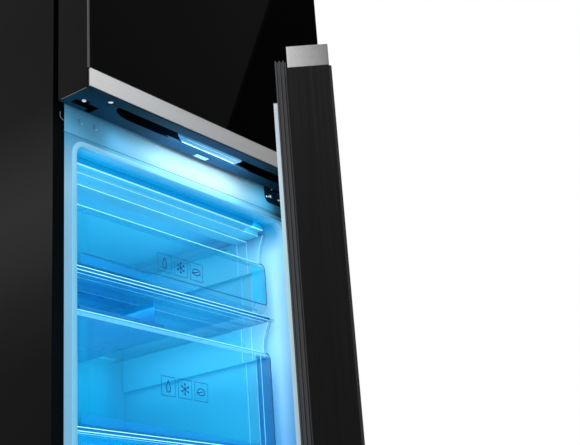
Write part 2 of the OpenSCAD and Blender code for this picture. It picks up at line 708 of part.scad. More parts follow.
module fridge_shelf(z) color([0.75, 0.88, 0.9]) place() {
    w = in_w - 1;
    difference() {
        union() {
            slab(-w, w, shelf_y + 6, shelf_back - 4, z - shelf_t, z);
            slab(-w, w, shelf_y, shelf_y + 9, z - 9, z + 3);
            slab(-w, w, shelf_back - 10, shelf_back, z - shelf_t, z + 12);
        }
        both_sides() slab(w - ledge_w, w + 2, shelf_y + 9, shelf_back + 1, z - 12, z - shelf_t);
    }
}

crisper_x = in_w - liner_r - 1;
module crisper_drawer() color([0.8, 0.9, 0.95]) place() {
    z0 = fridge_floor + seat_gap;
    y0 = shelf_y + 6;
    difference() {
        tunnel_box(crisper_x, y0, shelf_back - 8, z0, z0 + crisper_h, 14);
        tunnel_box(crisper_x - drawer_t, y0 + drawer_t, shelf_back - 8 - drawer_t, z0 + drawer_t,
            z0 + crisper_h + 1, 12);
    }
    slab(-crisper_x + 12, crisper_x - 12, y0 - 6, y0 + 1, z0 + crisper_h - 20, z0 + crisper_h - 4);
}

// A box with rounded upright edges
module tunnel_box(hw, y0, y1, z0, z1, r)
    translate([0, 0, z0]) linear_extrude(z1 - z0) polygon([
        for (c = [[hw - r, y1 - r, 0], [r - hw, y1 - r, 90], [r - hw, y0 + r, 180], [hw - r, y0 + r, 270]])
            for (k = [0 : 4]) [c[0] + r * cos(c[2] + 22.5 * k), c[1] + r * sin(c[2] + 22.5 * k)]]);

// Freezer compartment
module freezer_shelf(top) color([0.7, 0.88, 0.95]) place()
    slab(1 - in_w, in_w - 1, trim_y + 5, freezer_ledge_back - 1, top - shelf_t, top);

edge_half = in_w - edge_gap;
module freezer_shelf_trims() color([0.9, 0.96, 1]) place()
    for (top = [shelf_up, shelf_low])
        run_x(-edge_half, edge_half, [[trim_y, top - edge_h], [trim_y, top - 3.8], [trim_y + 1, top - 3.5],
            [trim_y + 1, top - 2.9], [trim_y, top - 2.6], [trim_y, top - 0.4], [trim_y + 0.4, top],
            [trim_y + 5, top], [trim_y + 5, top - shelf_t], [trim_y + 12, top - shelf_t],
            [trim_y + 12, top - edge_h]]);

module freezer_top_trim() color([0.85, 0.94, 1]) place()
    run_x(-front_half, front_half, [[drawer_y, freezer_top], [drawer_y, freezer_top - trim_drop + 12],
        [drawer_y + 10, freezer_top - trim_drop + 12], [drawer_y + 10, freezer_top - trim_drop + 3],
        [drawer_y + 40, freezer_top - trim_drop + 3], [drawer_y + 40, freezer_top - trim_drop],
        [drawer_y + trim_deep, freezer_top - trim_drop], [drawer_y + trim_deep, freezer_top]]);

// The front's foot curves back into the floor, and the sides rise in a long S behind the front
module drawer(seat, top, dip, back) {
    floor_z = seat + 1.8;
    rim = top - dip;
    y0 = drawer_y;
    arc_y = y0 + foot_r;
    arc_z = floor_z + foot_r;
    t = drawer_t;
    intersection() {
        run_x(-front_half, front_half, concat([[y0, rim]],
            [for (k = [0 : 6]) [arc_y - foot_r * cos(15 * k), arc_z - foot_r * sin(15 * k)]],
            [for (k = [6 : -1 : 0]) [arc_y - (foot_r - t) * cos(15 * k), arc_z - (foot_r - t) * sin(15 * k)]],
            [[y0 + t, rim - 5], [y0 + 13, rim - 5], [y0 + 13, rim]]));
        tunnel(front_half, floor_z, rim, front_r, y0 - 1, arc_y + 1);
    }
    slab(-tub_half, tub_half, arc_y, back, floor_z, floor_z + t);
    slab(-tub_half, tub_half, back - t, back, floor_z, top);
    both_sides() {
        run_x(tub_half - t, tub_half, concat([[y0 + t, rim - 5], [y0 + t, arc_z], [arc_y, floor_z + 1],
            [back, floor_z + 1], [back, top]],
            [for (k = [8 : -1 : 0]) [y0 + 13 + 7 * k, rim + dip * (1 - cos(22.5 * k)) / 2]]));
        slab(tub_half - t, tub_half + 9, y0 + 69, back, top - 3, top);
        slab(tub_half - 40, tub_half - 36, arc_y + 4, back - 4, seat + seat_gap, floor_z + 1);
    }
}

module freezer_drawer_upper() color([0.45, 0.8, 0.95]) place() drawer(shelf_up, side_up, dip_up, tub_back);
module freezer_drawer_middle() color([0.45, 0.8, 0.95]) place()
    drawer(shelf_low, side_mid, dip_mid, tub_back);
module freezer_drawer_lower() color([0.45, 0.8, 0.95]) place()
    drawer(freezer_floor, side_low, dip_low, low_back);

// The ice maker hangs by its two side plates under the upper shelf
ice_x0 = 10 - tub_half;
ice_x1 = ice_x0 + ice_w;
ice_y0 = drawer_y + 30;
ice_y1 = ice_y0 + ice_deep;
ice_top = shelf_up - shelf_t - ice_drop;
ice_low = ice_top - ice_h;
module ice_maker() color([0.3, 0.6, 0.85]) place() {
    translate([0, ice_y1, 0]) rotate([90, 0, 0]) linear_extrude(ice_deep) polygon([
        [ice_x0, ice_top], [ice_x0, ice_low], [ice_x0 + ice_flat, ice_low],
        [ice_x0 + ice_flat + 4, ice_low + 3], [ice_x0 + ice_flat + 8, ice_low + 14],
        [ice_x0 + ice_flat + 36, ice_low + 18], [ice_x1, ice_low + 48], [ice_x1, ice_top]]);
    for (x = [ice_x0, ice_x1 - 3]) slab(x, x + 3, ice_y0 + 20, ice_y1 - 20, ice_top - 1,
        shelf_up - shelf_t);
}

// Door shells, shared by both doors: a folded sheet with upright sides and rear returns
module door_frame(z0, z1, side) difference() {
    slab(-half_w, half_w, glass_t, side, z0, z1);
    slab(skin - half_w, half_w - skin, glass_t + skin, side - skin, z0 - 1, z1 + 1);
    slab(return_w - half_w, half_w - return_w, side - 2 * skin, side + 1, z0 - 1, z1 + 1);
}

module door_pane(z0, z1)
    translate([0, 0, z0]) linear_extrude(z1 - z0) polygon([[-half_w, glass_t], [-half_w, bevel],
        [bevel - half_w, 0], [half_w - bevel, 0], [half_w, bevel], [half_w, glass_t]]);

// A ring round the door's rear edge, drawn in on both sides by the value thin
module seal_ring(thin, z0, z1, y0, y1) difference() {
    slab(thin - seal_half, seal_half - thin, y0, y1, z0 + thin, z1 - thin);
    slab(seal_w - thin - seal_half, seal_half - seal_w + thin, y0 - 1, y1 + 1, z0 + seal_w - thin,
        z1 - seal_w + thin);
}

// Three ridges on a narrower neck
module gasket(z0, z1, y0) {
    step = (seal_back - y0) / 6;
    seal_ring(1.8, z0, z1, y0, seal_back - step / 2);
    for (k = [1 : 2 : 5]) seal_ring(0, z0, z1, y0 + step * k, y0 + step * (k + 1));
}

module pin_bore(z0, z1) rod_z(pin_x, pin_y, pin_r + pin_clear, z0, z1);

// Fridge door
module fridge_door_glass() color([0.01, 0.01, 0.012]) place() door_pane(glass_low, fridge_door_top);

module fridge_door_frame() color([0.1, 0.1, 0.1]) place()
    difference() {
        door_frame(split_z, fridge_door_top, fridge_side);
        slab(-cap_half, cap_half, glass_t - 1, glass_t + 2 * skin, split_z - 1, strip_z + strip_h);
    }

strip_half = half_w - 3;
module fridge_door_strip() color([0.72, 0.72, 0.72]) place()
    run_x(-strip_half, strip_half, [[glass_t, strip_z], [glass_t, strip_z + strip_h],
        [0.6, strip_z + strip_h], [0.6, strip_z + 1.6], [1, strip_z + 0.6], [2, strip_z]]);

function grip_outline(half, y, w, end) = concat(
    [[half, y], [half - 0.5, y + 3]],
    [for (k = [1 : 6]) [half - end + end * cos(15 * k), y + w * sin(15 * k)]],
    [for (k = [6 : -1 : 1]) [end - half - end * cos(15 * k), y + w * sin(15 * k)]],
    [[0.5 - half, y + 3], [-half, y]]);

// The unused slot for a left hinge: its band, its open tail and the notch round its screw
slot_x = half_w - 14;
slot_y = 42.5;
cap_screw = [half_w - 59, 17.5];
window_x0 = -6.8;
window_x1 = 23.8;
window_y0 = 54;
window_y1 = 65;
module fridge_door_bottom_cap() color([0.1, 0.16, 0.2]) place() difference() {
    union() {
        slab(-cap_half, cap_half, glass_t + skin, fridge_side - skin, split_z, split_z + grip_cap);
        slab(-cap_half, cap_half, glass_t, glass_t + skin, split_z, strip_z + strip_h);
        slab(-cap_half, cap_half, 1.2, glass_t, split_z, strip_z - 0.2);
        slab(return_w - half_w, half_w - return_w, fridge_side - skin, fridge_side, split_z,
            split_z + grip_cap);
    }
    translate([0, 0, split_z - 1]) linear_extrude(grip_deep + 1)
        polygon(grip_outline(grip_half, grip_y, grip_w, grip_end));
    slab(-slot_x, 45 - slot_x, slot_y, slot_y + 13, split_z - 1, split_z + 9);
    slab(34 - slot_x, 45 - slot_x, slot_y + 12, fridge_side - 2, split_z - 1, split_z + 9);
    slab(7 - slot_x, 24 - slot_x, slot_y - 7, slot_y + 1, split_z - 1, split_z + 9);
    slab(window_x0, window_x1, window_y0, window_y1, split_z - 1, split_z + 2);
    both_sides() rod_z(cap_screw[0], cap_screw[1], 5.5, split_z - 1, split_z + 3);
    pin_bore(split_z - 1, split_z + 18);
}

module fridge_door_top_cap() color([0.1, 0.1, 0.11]) place() difference() {
    union() {
        slab(-cap_half, cap_half, glass_t + skin, fridge_side - skin, fridge_door_top - cap_h,
            fridge_door_top);
        slab(return_w - half_w, half_w - return_w, fridge_side - skin, fridge_side,
            fridge_door_top - cap_h, fridge_door_top);
    }
    pin_bore(fridge_door_top - 18, fridge_door_top + 1);
}

module fridge_door_foam() color([0.93, 0.88, 0.66]) place() {
    z0 = split_z + grip_cap;
    z1 = fridge_door_top - cap_h;
    slab(-cap_half, cap_half, glass_t + skin, fridge_side - skin, z0, z1);
    slab(return_w - half_w, half_w - return_w, fridge_side - skin, fridge_side, z0, z1);
}

dike_w = 12;
dike_y = 105;
dike_low = fridge_floor + 14;
dike_top = fridge_top - 14;
module fridge_door_liner() color([0.95, 0.96, 0.97]) place() {
    slab(pan_in - half_w, half_w - pan_in, fridge_side, fridge_side + pan_t, split_z + pan_end,
        fridge_door_top - pan_end);
    difference() {
        slab(-plinth_half, plinth_half, fridge_side + 1, dike_y, dike_low, dike_top);
        slab(dike_w - plinth_half, plinth_half - dike_w, fridge_side - 1, dike_y + 1,
            dike_low + dike_w, dike_top - dike_w);
    }
    both_sides() for (z = bin_z)
        slab(plinth_half - dike_w - 6, plinth_half - dike_w + 1, fridge_side + 8, dike_y - 6, z - 8,
            z - seat_gap);
}

module fridge_door_gasket() color([0.2, 0.2, 0.21]) place()
    gasket(split_z + seal_end, fridge_door_top - seal_end, fridge_side);

module grip_lamp_lens() color([0.6, 0.85, 0.97]) place() {
    y1 = grip_y + grip_w - seat_gap;
    translate([0, 0, split_z + 1]) linear_extrude(lens_t)
        polygon([[lens_x0, grip_y + 5], [lens_x1, grip_y + 5], [lens_x1, y1], [lens_x0 + lens_slant, y1]]);
    for (x = [-50 : 20 : 50]) slab(x - 3, x + 3, grip_y + 10, grip_y + 15, split_z + 1 + lens_t,
        split_z + lens_t + 2.5);
    slab(-56, 60, grip_y + 7, grip_y + 18, split_z + lens_t + 2.5, split_z + grip_deep);
}

module grip_window() color([0.95, 0.98, 1]) place()
    slab(window_x0 + 0.2, window_x1 - 0.2, window_y0 + 0.2, window_y1 - 0.2, split_z + 0.4, split_z + 2);

module door_bin(z) color([0.85, 0.93, 0.96]) place() {
    w = plinth_half - dike_w - seat_gap;
    y0 = fridge_side + pan_t + seat_gap;
    difference() {
        tunnel_box(w, y0, y0 + bin_d, z, z + bin_h, 10);
        tunnel_box(w - drawer_t, y0 + drawer_t, y0 + bin_d - drawer_t, z + drawer_t, z + bin_h + 1, 8);
    }
}

// Freezer door
module freezer_door_glass() color([0.01, 0.01, 0.012]) on_freezer_door()
    door_pane(door_z, rail_z - 1);

module freezer_door_frame() color([0.1, 0.1, 0.1]) on_freezer_door() {
    door_frame(door_z, rail_z, freezer_side);
    difference() {
        union() {
            slab(-cap_half, cap_half, glass_t + skin / 2, freezer_side - skin / 2, door_z, door_z + cap_h);
            slab(return_w - half_w - 1, half_w - return_w + 1, freezer_side - skin, freezer_side, door_z,
                door_z + cap_h);
        }
        pin_bore(door_z - 1, door_z + 18);
    }
}

rail_t = 2.5;
rail_back = freezer_side - 1.5;
module freezer_door_rail() color([0.7, 0.7, 0.7]) on_freezer_door() difference() {
    slab(-half_w, half_w, rail_set, rail_back, rail_z, freezer_door_top);
    difference() {
        slab(rail_t - half_w, half_w - rail_t, rail_set + rail_t, rail_back - rail_t, rail_z - 1,
            freezer_door_top - rail_t);
        rod_z(pin_x, pin_y, pin_r + 5, rail_z - 2, freezer_door_top);
    }
    pin_bore(freezer_door_top - 19, freezer_door_top + 1);
}

module freezer_door_foam() color([0.93, 0.88, 0.66]) on_freezer_door() {
    z0 = door_z + cap_h;
    z1 = rail_z;
    slab(-cap_half, cap_half, glass_t + skin, freezer_side - skin, z0, z1);
    slab(return_w - half_w, half_w - return_w, freezer_side - skin, freezer_side, z0, z1);
    slab(rail_t - half_w, pin_x - pin_r - 6, rail_set + rail_t, rail_back - rail_t, z1,
        freezer_door_top - rail_t);
    tunnel(plinth_half - pan_t, plinth_low + pan_t, plinth_top - pan_t, plinth_r - pan_t, freezer_side,
        plinth_face - pan_t);
}

plinth_r = 14;
module freezer_door_liner() color([0.9, 0.92, 0.96]) on_freezer_door() difference() {
    union() {
        slab(pan_in - half_w, half_w - pan_in, freezer_side, freezer_side + pan_t, door_z + pan_end,
            freezer_door_top - pan_end);
        tunnel(plinth_half, plinth_low, plinth_top, plinth_r, freezer_side + pan_t / 2, plinth_face);
    }
    tunnel(plinth_half - pan_t, plinth_low + pan_t, plinth_top - pan_t, plinth_r - pan_t, freezer_side - 1,
        plinth_face - pan_t);
}

module freezer_door_gasket() color([0.25, 0.25, 0.26]) on_freezer_door()
    gasket(door_z + seal_end, freezer_door_top - seal_end, freezer_side);

outer_shell();
rear_panel();
base_tray();
insulation_foam();
fridge_liner();
freezer_liner();
crossbar_cover();
hole_plugs();
top_hinge();
middle_hinge();
bottom_hinge();
hinge_pins();
hinge_screws();
hinge_cover();
front_foot(-1);  // front_foot_left
front_foot(1);  // front_foot_right
rear_roller(-1);  // rear_roller_left
rear_roller(1);  // rear_roller_right
compressor();
condenser();
condenser_fan();
drip_tray();
bay_cover();
power_inlet();
evaporator();
evaporator_cover();
evaporator_fan();
fridge_air_duct();
fridge_lamp();
fridge_shelf(shelf_z[0]);  // fridge_shelf_lower
fridge_shelf(shelf_z[1]);  // fridge_shelf_middle
fridge_shelf(shelf_z[2]);  // fridge_shelf_upper
crisper_drawer();
freezer_shelf(shelf_up);  // freezer_shelf_upper
freezer_shelf(shelf_low);  // freezer_shelf_lower
freezer_shelf_trims();
freezer_top_trim();
freezer_drawer_upper();
freezer_drawer_middle();
freezer_drawer_lower();
ice_maker();
fridge_door_glass();
fridge_door_frame();
fridge_door_strip();
fridge_door_bottom_cap();
fridge_door_top_cap();
fridge_door_foam();
fridge_door_liner();
fridge_door_gasket();
grip_lamp_lens();
grip_window();
door_bin(bin_z[0]);  // door_bin_lower
door_bin(bin_z[1]);  // door_bin_middle
door_bin(bin_z[2]);  // door_bin_upper
freezer_door_glass();
freezer_door_frame();
freezer_door_rail();
freezer_door_foam();
freezer_door_liner();
freezer_door_gasket();
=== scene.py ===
"""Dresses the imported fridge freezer: finished copies of its nodes, fine details, light and camera."""
import bpy
import bmesh
import json
import math
from mathutils import Matrix, Vector

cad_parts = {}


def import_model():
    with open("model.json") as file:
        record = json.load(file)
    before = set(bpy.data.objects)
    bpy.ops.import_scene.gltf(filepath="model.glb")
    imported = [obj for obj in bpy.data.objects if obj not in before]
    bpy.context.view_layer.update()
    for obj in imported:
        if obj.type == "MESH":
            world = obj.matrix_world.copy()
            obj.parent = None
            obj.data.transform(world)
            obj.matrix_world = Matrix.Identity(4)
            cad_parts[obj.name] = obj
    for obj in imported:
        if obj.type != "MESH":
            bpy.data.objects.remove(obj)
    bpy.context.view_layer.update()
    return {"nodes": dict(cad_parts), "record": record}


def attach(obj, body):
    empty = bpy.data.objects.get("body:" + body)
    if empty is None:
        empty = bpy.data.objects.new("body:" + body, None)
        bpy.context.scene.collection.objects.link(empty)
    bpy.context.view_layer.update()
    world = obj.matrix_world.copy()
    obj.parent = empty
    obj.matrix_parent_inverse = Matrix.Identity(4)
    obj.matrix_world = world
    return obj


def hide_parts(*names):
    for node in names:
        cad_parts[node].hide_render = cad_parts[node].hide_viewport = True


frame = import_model()
nodes = frame["nodes"]
body_of = {n: b for b, ns in frame["record"]["behaviour"]["bodies"].items() for n in ns}

# Sizes in millimetres, as in the part's source: shut door fronts at y = 0, cabinet's middle at x = 0
HALF_W = 297.5
CAB_D = 640.0
CAB_H = 1990.0
COVER_H = 20.0  # hinge cover on the top
FACE_Y = 77.0  # cabinet's front
SPACER = 10.0  # on the rear panel
PIN_X = HALF_W - 20.0
PIN_Y = 45.0
BEVEL = 1.5  # of the glass fronts
ANGLE = math.radians(35.7)  # of the open freezer door
SPLIT_Z = 765.0  # underside of the fridge door
IN_W = 252.5  # half the inner width
FREEZER_FLOOR = 92.0
FREEZER_TOP = 713.0
LIP_W = 8.0  # raised lip round the freezer's mouth
LIP_R = 24.0
LEDGE_W = 9.0  # raised blocks on the freezer's walls
BLOCKS = ((701.0, 636.0), (536.0, 473.0), (299.0, 232.0))  # their top and low ends
SHELVES = (540.0, 303.0)  # top of each freezer shelf
EDGE_HALF = IN_W - 20.5  # half the length of a shelf's trim
DRAWER_Y = 108.0
FRONT_HALF = IN_W - 26.0  # half a drawer front's width
FRONT_R = 12.0
TUB_HALF = 200.0
LINER_SEAM_Z = 727.2  # between the crossbar and the freezer liner
BAY_TOP = 229.0  # compressor bay

LEVELS = ("lower", "middle", "upper")
X, Y, Z = 0, 1, 2


def swung(x, y):
    """A point of the shut freezer door, in plan, where the door stands open."""
    dx, dy = x - PIN_X, y - PIN_Y
    return (PIN_X + dx * math.cos(ANGLE) - dy * math.sin(ANGLE),
            PIN_Y + dx * math.sin(ANGLE) + dy * math.cos(ANGLE))


# The middle of the part's box with the freezer door open, which is the frame's origin in plan
REACH_R = max(swung(HALF_W - BEVEL, 0)[0], swung(HALF_W, BEVEL)[0], HALF_W)
REACH_F = min(swung(BEVEL - HALF_W, 0)[1], swung(-HALF_W, BEVEL)[1])
MID_X = (REACH_R - HALF_W) / 2
MID_Y = (REACH_F + CAB_D + SPACER) / 2

# Added to a size in millimetres to get the frame's own, and the same along the open door's turned axes
SHIFT = (-MID_X, -MID_Y, 0.0)
DOOR_SHIFT = (math.cos(ANGLE) * (PIN_X - MID_X) + math.sin(ANGLE) * (PIN_Y - MID_Y) - PIN_X,
              -math.sin(ANGLE) * (PIN_X - MID_X) + math.cos(ANGLE) * (PIN_Y - MID_Y) - PIN_Y, 0.0)


def P(x, y, z):
    """A point given in millimetres, in metres in the part's frame."""
    return Vector(((x - MID_X) / 1000, (y - MID_Y) / 1000, z / 1000))


# Materials
NOISE_LOW, NOISE_HIGH = 0.3, 0.7  # a noise stays about between these


def srgb(r, g, b):
    """The linear colour of values from 0 to 255."""
    shares = (c / 255 for c in (r, g, b))
    return tuple(c / 12.92 if c <= 0.04045 else ((c + 0.055) / 1.055) ** 2.4 for c in shares)


def grey(level):
    return (level,) * 3


def scaled(color, k):
    return tuple(min(1.0, c * k) for c in color)


class Nodes:
    """A material's node tree, with short calls for the nodes that are used here."""

    SOCKETS = {"color": "Base Color", "rough": "Roughness", "metal": "Metallic", "spec": "Specular IOR Level",
               "alpha": "Alpha", "emit": "Emission Color", "power": "Emission Strength"}

    def __init__(self, name):
        self.mat = bpy.data.materials.new(name)
        self.mat.use_nodes = True
        self.tree = self.mat.node_tree
        self.bsdf = self.tree.nodes["Principled BSDF"]

    def new(self, kind, **props):
        n = self.tree.nodes.new(kind)
        for k, v in props.items():
            setattr(n, k, v)
        return n

    def feed(self, sock, value):
        """Sets a socket to a number or a colour, or links another node's output to it."""
        if isinstance(value, tuple):
            sock.default_value = (*value, 1)
        elif isinstance(value, (int, float)):
            sock.default_value = value
        else:
            self.tree.links.new(value, sock)

    def set(self, **values):
        for k, v in values.items():
            self.feed(self.bsdf.inputs[self.SOCKETS[k]], v)

    def coords(self, scale=(1, 1, 1), turn=0.0, out="Object"):
        source = self.new("ShaderNodeTexCoord")
        turned = self.new("ShaderNodeMapping")
        turned.inputs["Rotation"].default_value = (0, 0, turn)
        self.feed(turned.inputs["Vector"], source.outputs[out])
        sized = self.new("ShaderNodeMapping")
        sized.inputs["Scale"].default_value = scale
        self.feed(sized.inputs["Vector"], turned.outputs[0])
        return sized.outputs[0]

    def noise(self, vector, scale, detail, rough=0.5):
        n = self.new("ShaderNodeTexNoise")
        n.inputs["Scale"].default_value = scale
        n.inputs["Detail"].default_value = detail
        n.inputs["Roughness"].default_value = rough
        self.feed(n.inputs["Vector"], vector)
        return n.outputs["Fac"]

    def ramp(self, fac, stops):
        r = self.new("ShaderNodeValToRGB")
        e = r.color_ramp.elements
        while len(e) < len(stops):
            e.new(0.5)
        for el, (pos, col) in zip(e, stops):
            el.position = pos
            el.color = (*col, 1)
        self.feed(r.inputs[0], fac)
        return r.outputs[0]

    def varied(self, fac, color, vary, low=NOISE_LOW, high=NOISE_HIGH):
        """A colour that gets darker and lighter by the share vary, along a noise."""
        return self.ramp(fac, [(low, scaled(color, 1 - vary)), (high, scaled(color, 1 + vary))])

    def span(self, fac, lo, hi, a, b):
        """a to b while fac goes from lo to hi."""
        m = self.new("ShaderNodeMapRange")
        for name, v in (("From Min", lo), ("From Max", hi), ("To Min", a), ("To Max", b)):
            m.inputs[name].default_value = v
        self.feed(m.inputs["Value"], fac)
        return m.outputs[0]

    def spread(self, fac, low, high):
        """low to high, along a noise."""
        return self.span(fac, NOISE_LOW, NOISE_HIGH, low, high)

    def axis(self, which, out="Object", turn=0.0):
        s = self.new("ShaderNodeSeparateXYZ")
        self.feed(s.inputs[0], self.coords(turn=turn, out=out))
        return s.outputs[which]

    def along(self, which, lo, hi, a=0.0, b=1.0, turn=0.0):
        """a to b between two places on an axis, in millimetres. With turn, on the open door's own axis."""
        shift = DOOR_SHIFT[which] if turn else SHIFT[which]
        return self.span(self.axis(which, turn=turn), (lo + shift) / 1000, (hi + shift) / 1000, a, b)

    def graded(self, which, points, turn=0.0):
        """A colour along an axis, from points of millimetres and colour."""
        lo, hi = points[0][0], points[-1][0]
        return self.ramp(self.along(which, lo, hi, turn=turn), [((p - lo) / (hi - lo), c) for p, c in points])

    def mix(self, fac, a, b, blend="MIX"):
        m = self.new("ShaderNodeMix", data_type="RGBA", blend_type=blend)
        # of this node's inputs, 0 is the factor and 6 and 7 are the colours
        for sock, value in ((0, fac), (6, a), (7, b)):
            self.feed(m.inputs[sock], value)
        return m.outputs[2]

    def tint(self, base, fac, low):
        """base times low to 1, while fac goes through the range of a noise."""
        stops = [(NOISE_LOW, grey(low)), (NOISE_HIGH, grey(1.0))]
        return self.mix(1.0, base, self.ramp(fac, stops), "MULTIPLY")

    def calc(self, operation, *values):
        m = self.new("ShaderNodeMath", operation=operation)
        for sock, value in zip(m.inputs, values):
            self.feed(sock, value)
        return m.outputs[0]

    def bump(self, height, strength, distance):
        """The last step of a material: fine relief, distance in metres."""
        b = self.new("ShaderNodeBump")
        b.inputs["Strength"].default_value = strength
        b.inputs["Distance"].default_value = distance
        self.feed(b.inputs["Height"], height)
        self.feed(self.bsdf.inputs["Normal"], b.outputs[0])
        return self.mat


def painted(name, color, rough=0.4, spec=0.25, grain=900, depth=0.00003, vary=0.12, painted_light=None, front=None):
    """Painted sheet. An axis with points of colour paints light and shade along it, and front is a painted
    shade on the faces that look forward.
    """
    n = Nodes(name)
    broad = n.noise(n.coords((3, 3, 1.5)), 1.0, 2)
    fine = n.noise(n.coords(), grain, 2)
    body = n.tint(n.graded(*painted_light), broad, 1 - vary) if painted_light else n.varied(broad, color, vary)
    if front:
        body = n.mix(n.span(n.axis(Y, out="Normal"), -0.8, -0.5, 1.0, 0.0), body, front)
    n.set(color=body, rough=n.spread(fine, rough - 0.04, rough + 0.05), spec=spec)
    return n.bump(fine, 0.25, depth)


def brushed(name, color, grain, rough=0.32, metal=1.0, spec=0.5, turn=0.0, vary=0.25, power=0.3, painted_light=None):
    """Metal brushed along the axis grain: fine streaks of colour, roughness and height. An axis with points
    of colour paints light and shade along it.
    """
    n = Nodes(name)
    fine = {X: (5, 900, 900), Z: (900, 900, 5)}[grain]
    wide = {X: (1.2, 160, 160), Z: (160, 160, 1.2)}[grain]
    streak = n.noise(n.coords(fine, turn), 1.0, 2, 0.6)
    band = n.noise(n.coords(wide, turn), 1.0, 2)
    if painted_light:
        both = n.tint(n.tint(n.graded(*painted_light, turn=turn), streak, 1 - 2 * vary), band, 1 - vary)
    else:
        both = n.mix(0.5, n.varied(streak, color, vary, 0.25, 0.75), n.varied(band, color, vary / 2))
    n.set(color=both, rough=n.spread(streak, rough - 0.06, rough + 0.08), metal=metal, spec=spec)
    return n.bump(streak, power, 0.00004)


def plastic(name, color, rough=0.25, spec=0.5, alpha=1.0, vary=0.05, grain=600, depth=0.00002,
            emit=None, power=0.0, painted_light=None, rim=None, rim_alpha=0.92):
    """Plastic. Clear ones have a rim: the colour and density where they are looked at along the surface. An
    axis with points of colour paints light and shade along it.
    """
    n = Nodes(name)
    broad = n.noise(n.coords((4, 4, 3)), 1.0, 2)
    fine = n.noise(n.coords(), grain, 2)
    body = n.tint(n.graded(*painted_light), broad, 1 - 2 * vary) if painted_light else n.varied(broad, color, vary)
    if rim:
        face = n.new("ShaderNodeLayerWeight")
        face.inputs["Blend"].default_value = 0.35
        body = n.mix(face.outputs["Facing"], body, rim)
        alpha = n.span(face.outputs["Facing"], 0.3, 0.97, alpha, rim_alpha)
    n.set(color=body, rough=n.spread(fine, max(0.02, rough - 0.03), rough + 0.04), spec=spec, alpha=alpha)
    if emit:
        n.set(emit=emit, power=power)
    return n.bump(fine, 0.15, depth)


M = {}
# Cabinet and door shells
# painted highlight: the cabinet's sides are palest about 610 mm up and darker above and below, and front
# paints shade on its forward faces
M["cabinet"] = painted(
    "cabinet_paint", srgb(23, 23, 24), rough=0.5, spec=0.04, vary=0.06, front=srgb(4, 5, 6),
    painted_light=(Z, [(240, srgb(9, 9, 9)), (380, srgb(12, 12, 12)), (470, srgb(25, 25, 25)),
               (540, srgb(38, 38, 38)), (610, srgb(43, 43, 43)), (670, srgb(37, 37, 38)),
               (770, srgb(18, 18, 18)), (900, srgb(14, 14, 14))]))
M["door_side"] = brushed("door_side_brushed", srgb(14, 14, 14), Z, rough=0.45, metal=0.0, spec=0.04, vary=0.3)
# painted shade: the freezer door's side is darker towards the bottom
M["lower_side"] = brushed("lower_door_side_brushed", srgb(20, 20, 20), Z, rough=0.4, metal=0.0, spec=0.08,
                          turn=-ANGLE, vary=0.28,
                          painted_light=(Z, [(50, srgb(9, 9, 9)), (420, srgb(23, 23, 23)), (728, srgb(34, 34, 35))]))
# painted light: the strip is palest at its left end and darker to the right
M["silver"] = brushed("silver_strip_brushed", grey(0.5), X, rough=0.34, metal=0.35, spec=0.4, vary=0.05,
                      painted_light=(X, [(-297, grey(0.82)), (-60, grey(0.56)), (160, grey(0.38)),
                                 (297, grey(0.35))]))
# painted highlight: the rail is paler towards its rear edge, brightest at that edge
M["silver_rail"] = brushed("silver_rail_brushed", grey(0.5), X, rough=0.34, metal=0.35, spec=0.4, turn=-ANGLE,
                           vary=0.1, painted_light=(Y, [(2, grey(0.22)), (30, grey(0.4)), (56, grey(0.58)),
                                                (60, grey(0.74))]))
M["cap_black"] = plastic("recess_black", srgb(6, 7, 9), rough=0.5, spec=0.1)
M["top_cap"] = plastic("top_cap_plastic", srgb(32, 33, 35), rough=0.5, spec=0.3)
M["gasket"] = plastic("gasket_rubber", srgb(70, 71, 73), rough=0.55, spec=0.25, vary=0.1)
M["gasket_dark"] = plastic("gasket_rubber_dark", srgb(30, 31, 33), rough=0.6, spec=0.2, vary=0.1)
# painted highlight along the lower edge of the upper door's side
M["edge"] = painted("side_edge_highlight", srgb(102, 103, 104), rough=0.35, spec=0.3)
# painted highlight, glowing: the pale line on the pressed outline of the fold's hinge notch
M["notch"] = plastic("pressed_edge_highlight", srgb(170, 172, 176), rough=0.3, spec=0.5, vary=0.02,
                     emit=srgb(150, 152, 156), power=0.25)
M["fold"] = painted("fold_line", srgb(46, 46, 48), rough=0.4, spec=0.2)
# Inner panels, crossbar and hinges
# painted light: the freezer's blue light on the white inner panel, changing with height
M["door_liner"] = plastic("door_liner_plastic", srgb(236, 242, 252), rough=0.22, spec=0.5, vary=0.02, painted_light=(
    Z, [(110, srgb(218, 236, 240)), (248, srgb(198, 228, 240)), (365, srgb(206, 236, 248)),
        (482, srgb(208, 250, 255)), (600, srgb(225, 243, 255)), (680, srgb(223, 233, 247))]))
M["fridge_liner"] = plastic("fridge_liner_plastic", srgb(232, 236, 240), rough=0.28, spec=0.5, vary=0.02)
# painted light: the white crossbar with the lamps' blue light on it, palest in its middle
M["bar"] = plastic("crossbar_plastic", srgb(150, 205, 232), rough=0.3, spec=0.12, vary=0.02, painted_light=(
    X, [(-290, srgb(112, 196, 238)), (-180, srgb(102, 178, 216)), (-60, srgb(164, 196, 210)),
        (60, srgb(180, 200, 208)), (120, srgb(174, 198, 210)), (200, srgb(96, 200, 238))]))
# the white plugs with painted blue light, and a painted highlight and a painted shade for their edges
M["plug"] = plastic("plug_plastic", srgb(112, 186, 222), rough=0.3, spec=0.6, vary=0.02)
M["plug_light"] = plastic("plug_light_edge", srgb(170, 232, 255), rough=0.3, spec=0.4, vary=0.02)
M["plug_shade"] = plastic("plug_shaded_edge", srgb(60, 136, 176), rough=0.4, spec=0.2, vary=0.02)
M["seam"] = plastic("seam_shade", srgb(36, 112, 156), rough=0.5, spec=0.2, vary=0.02)
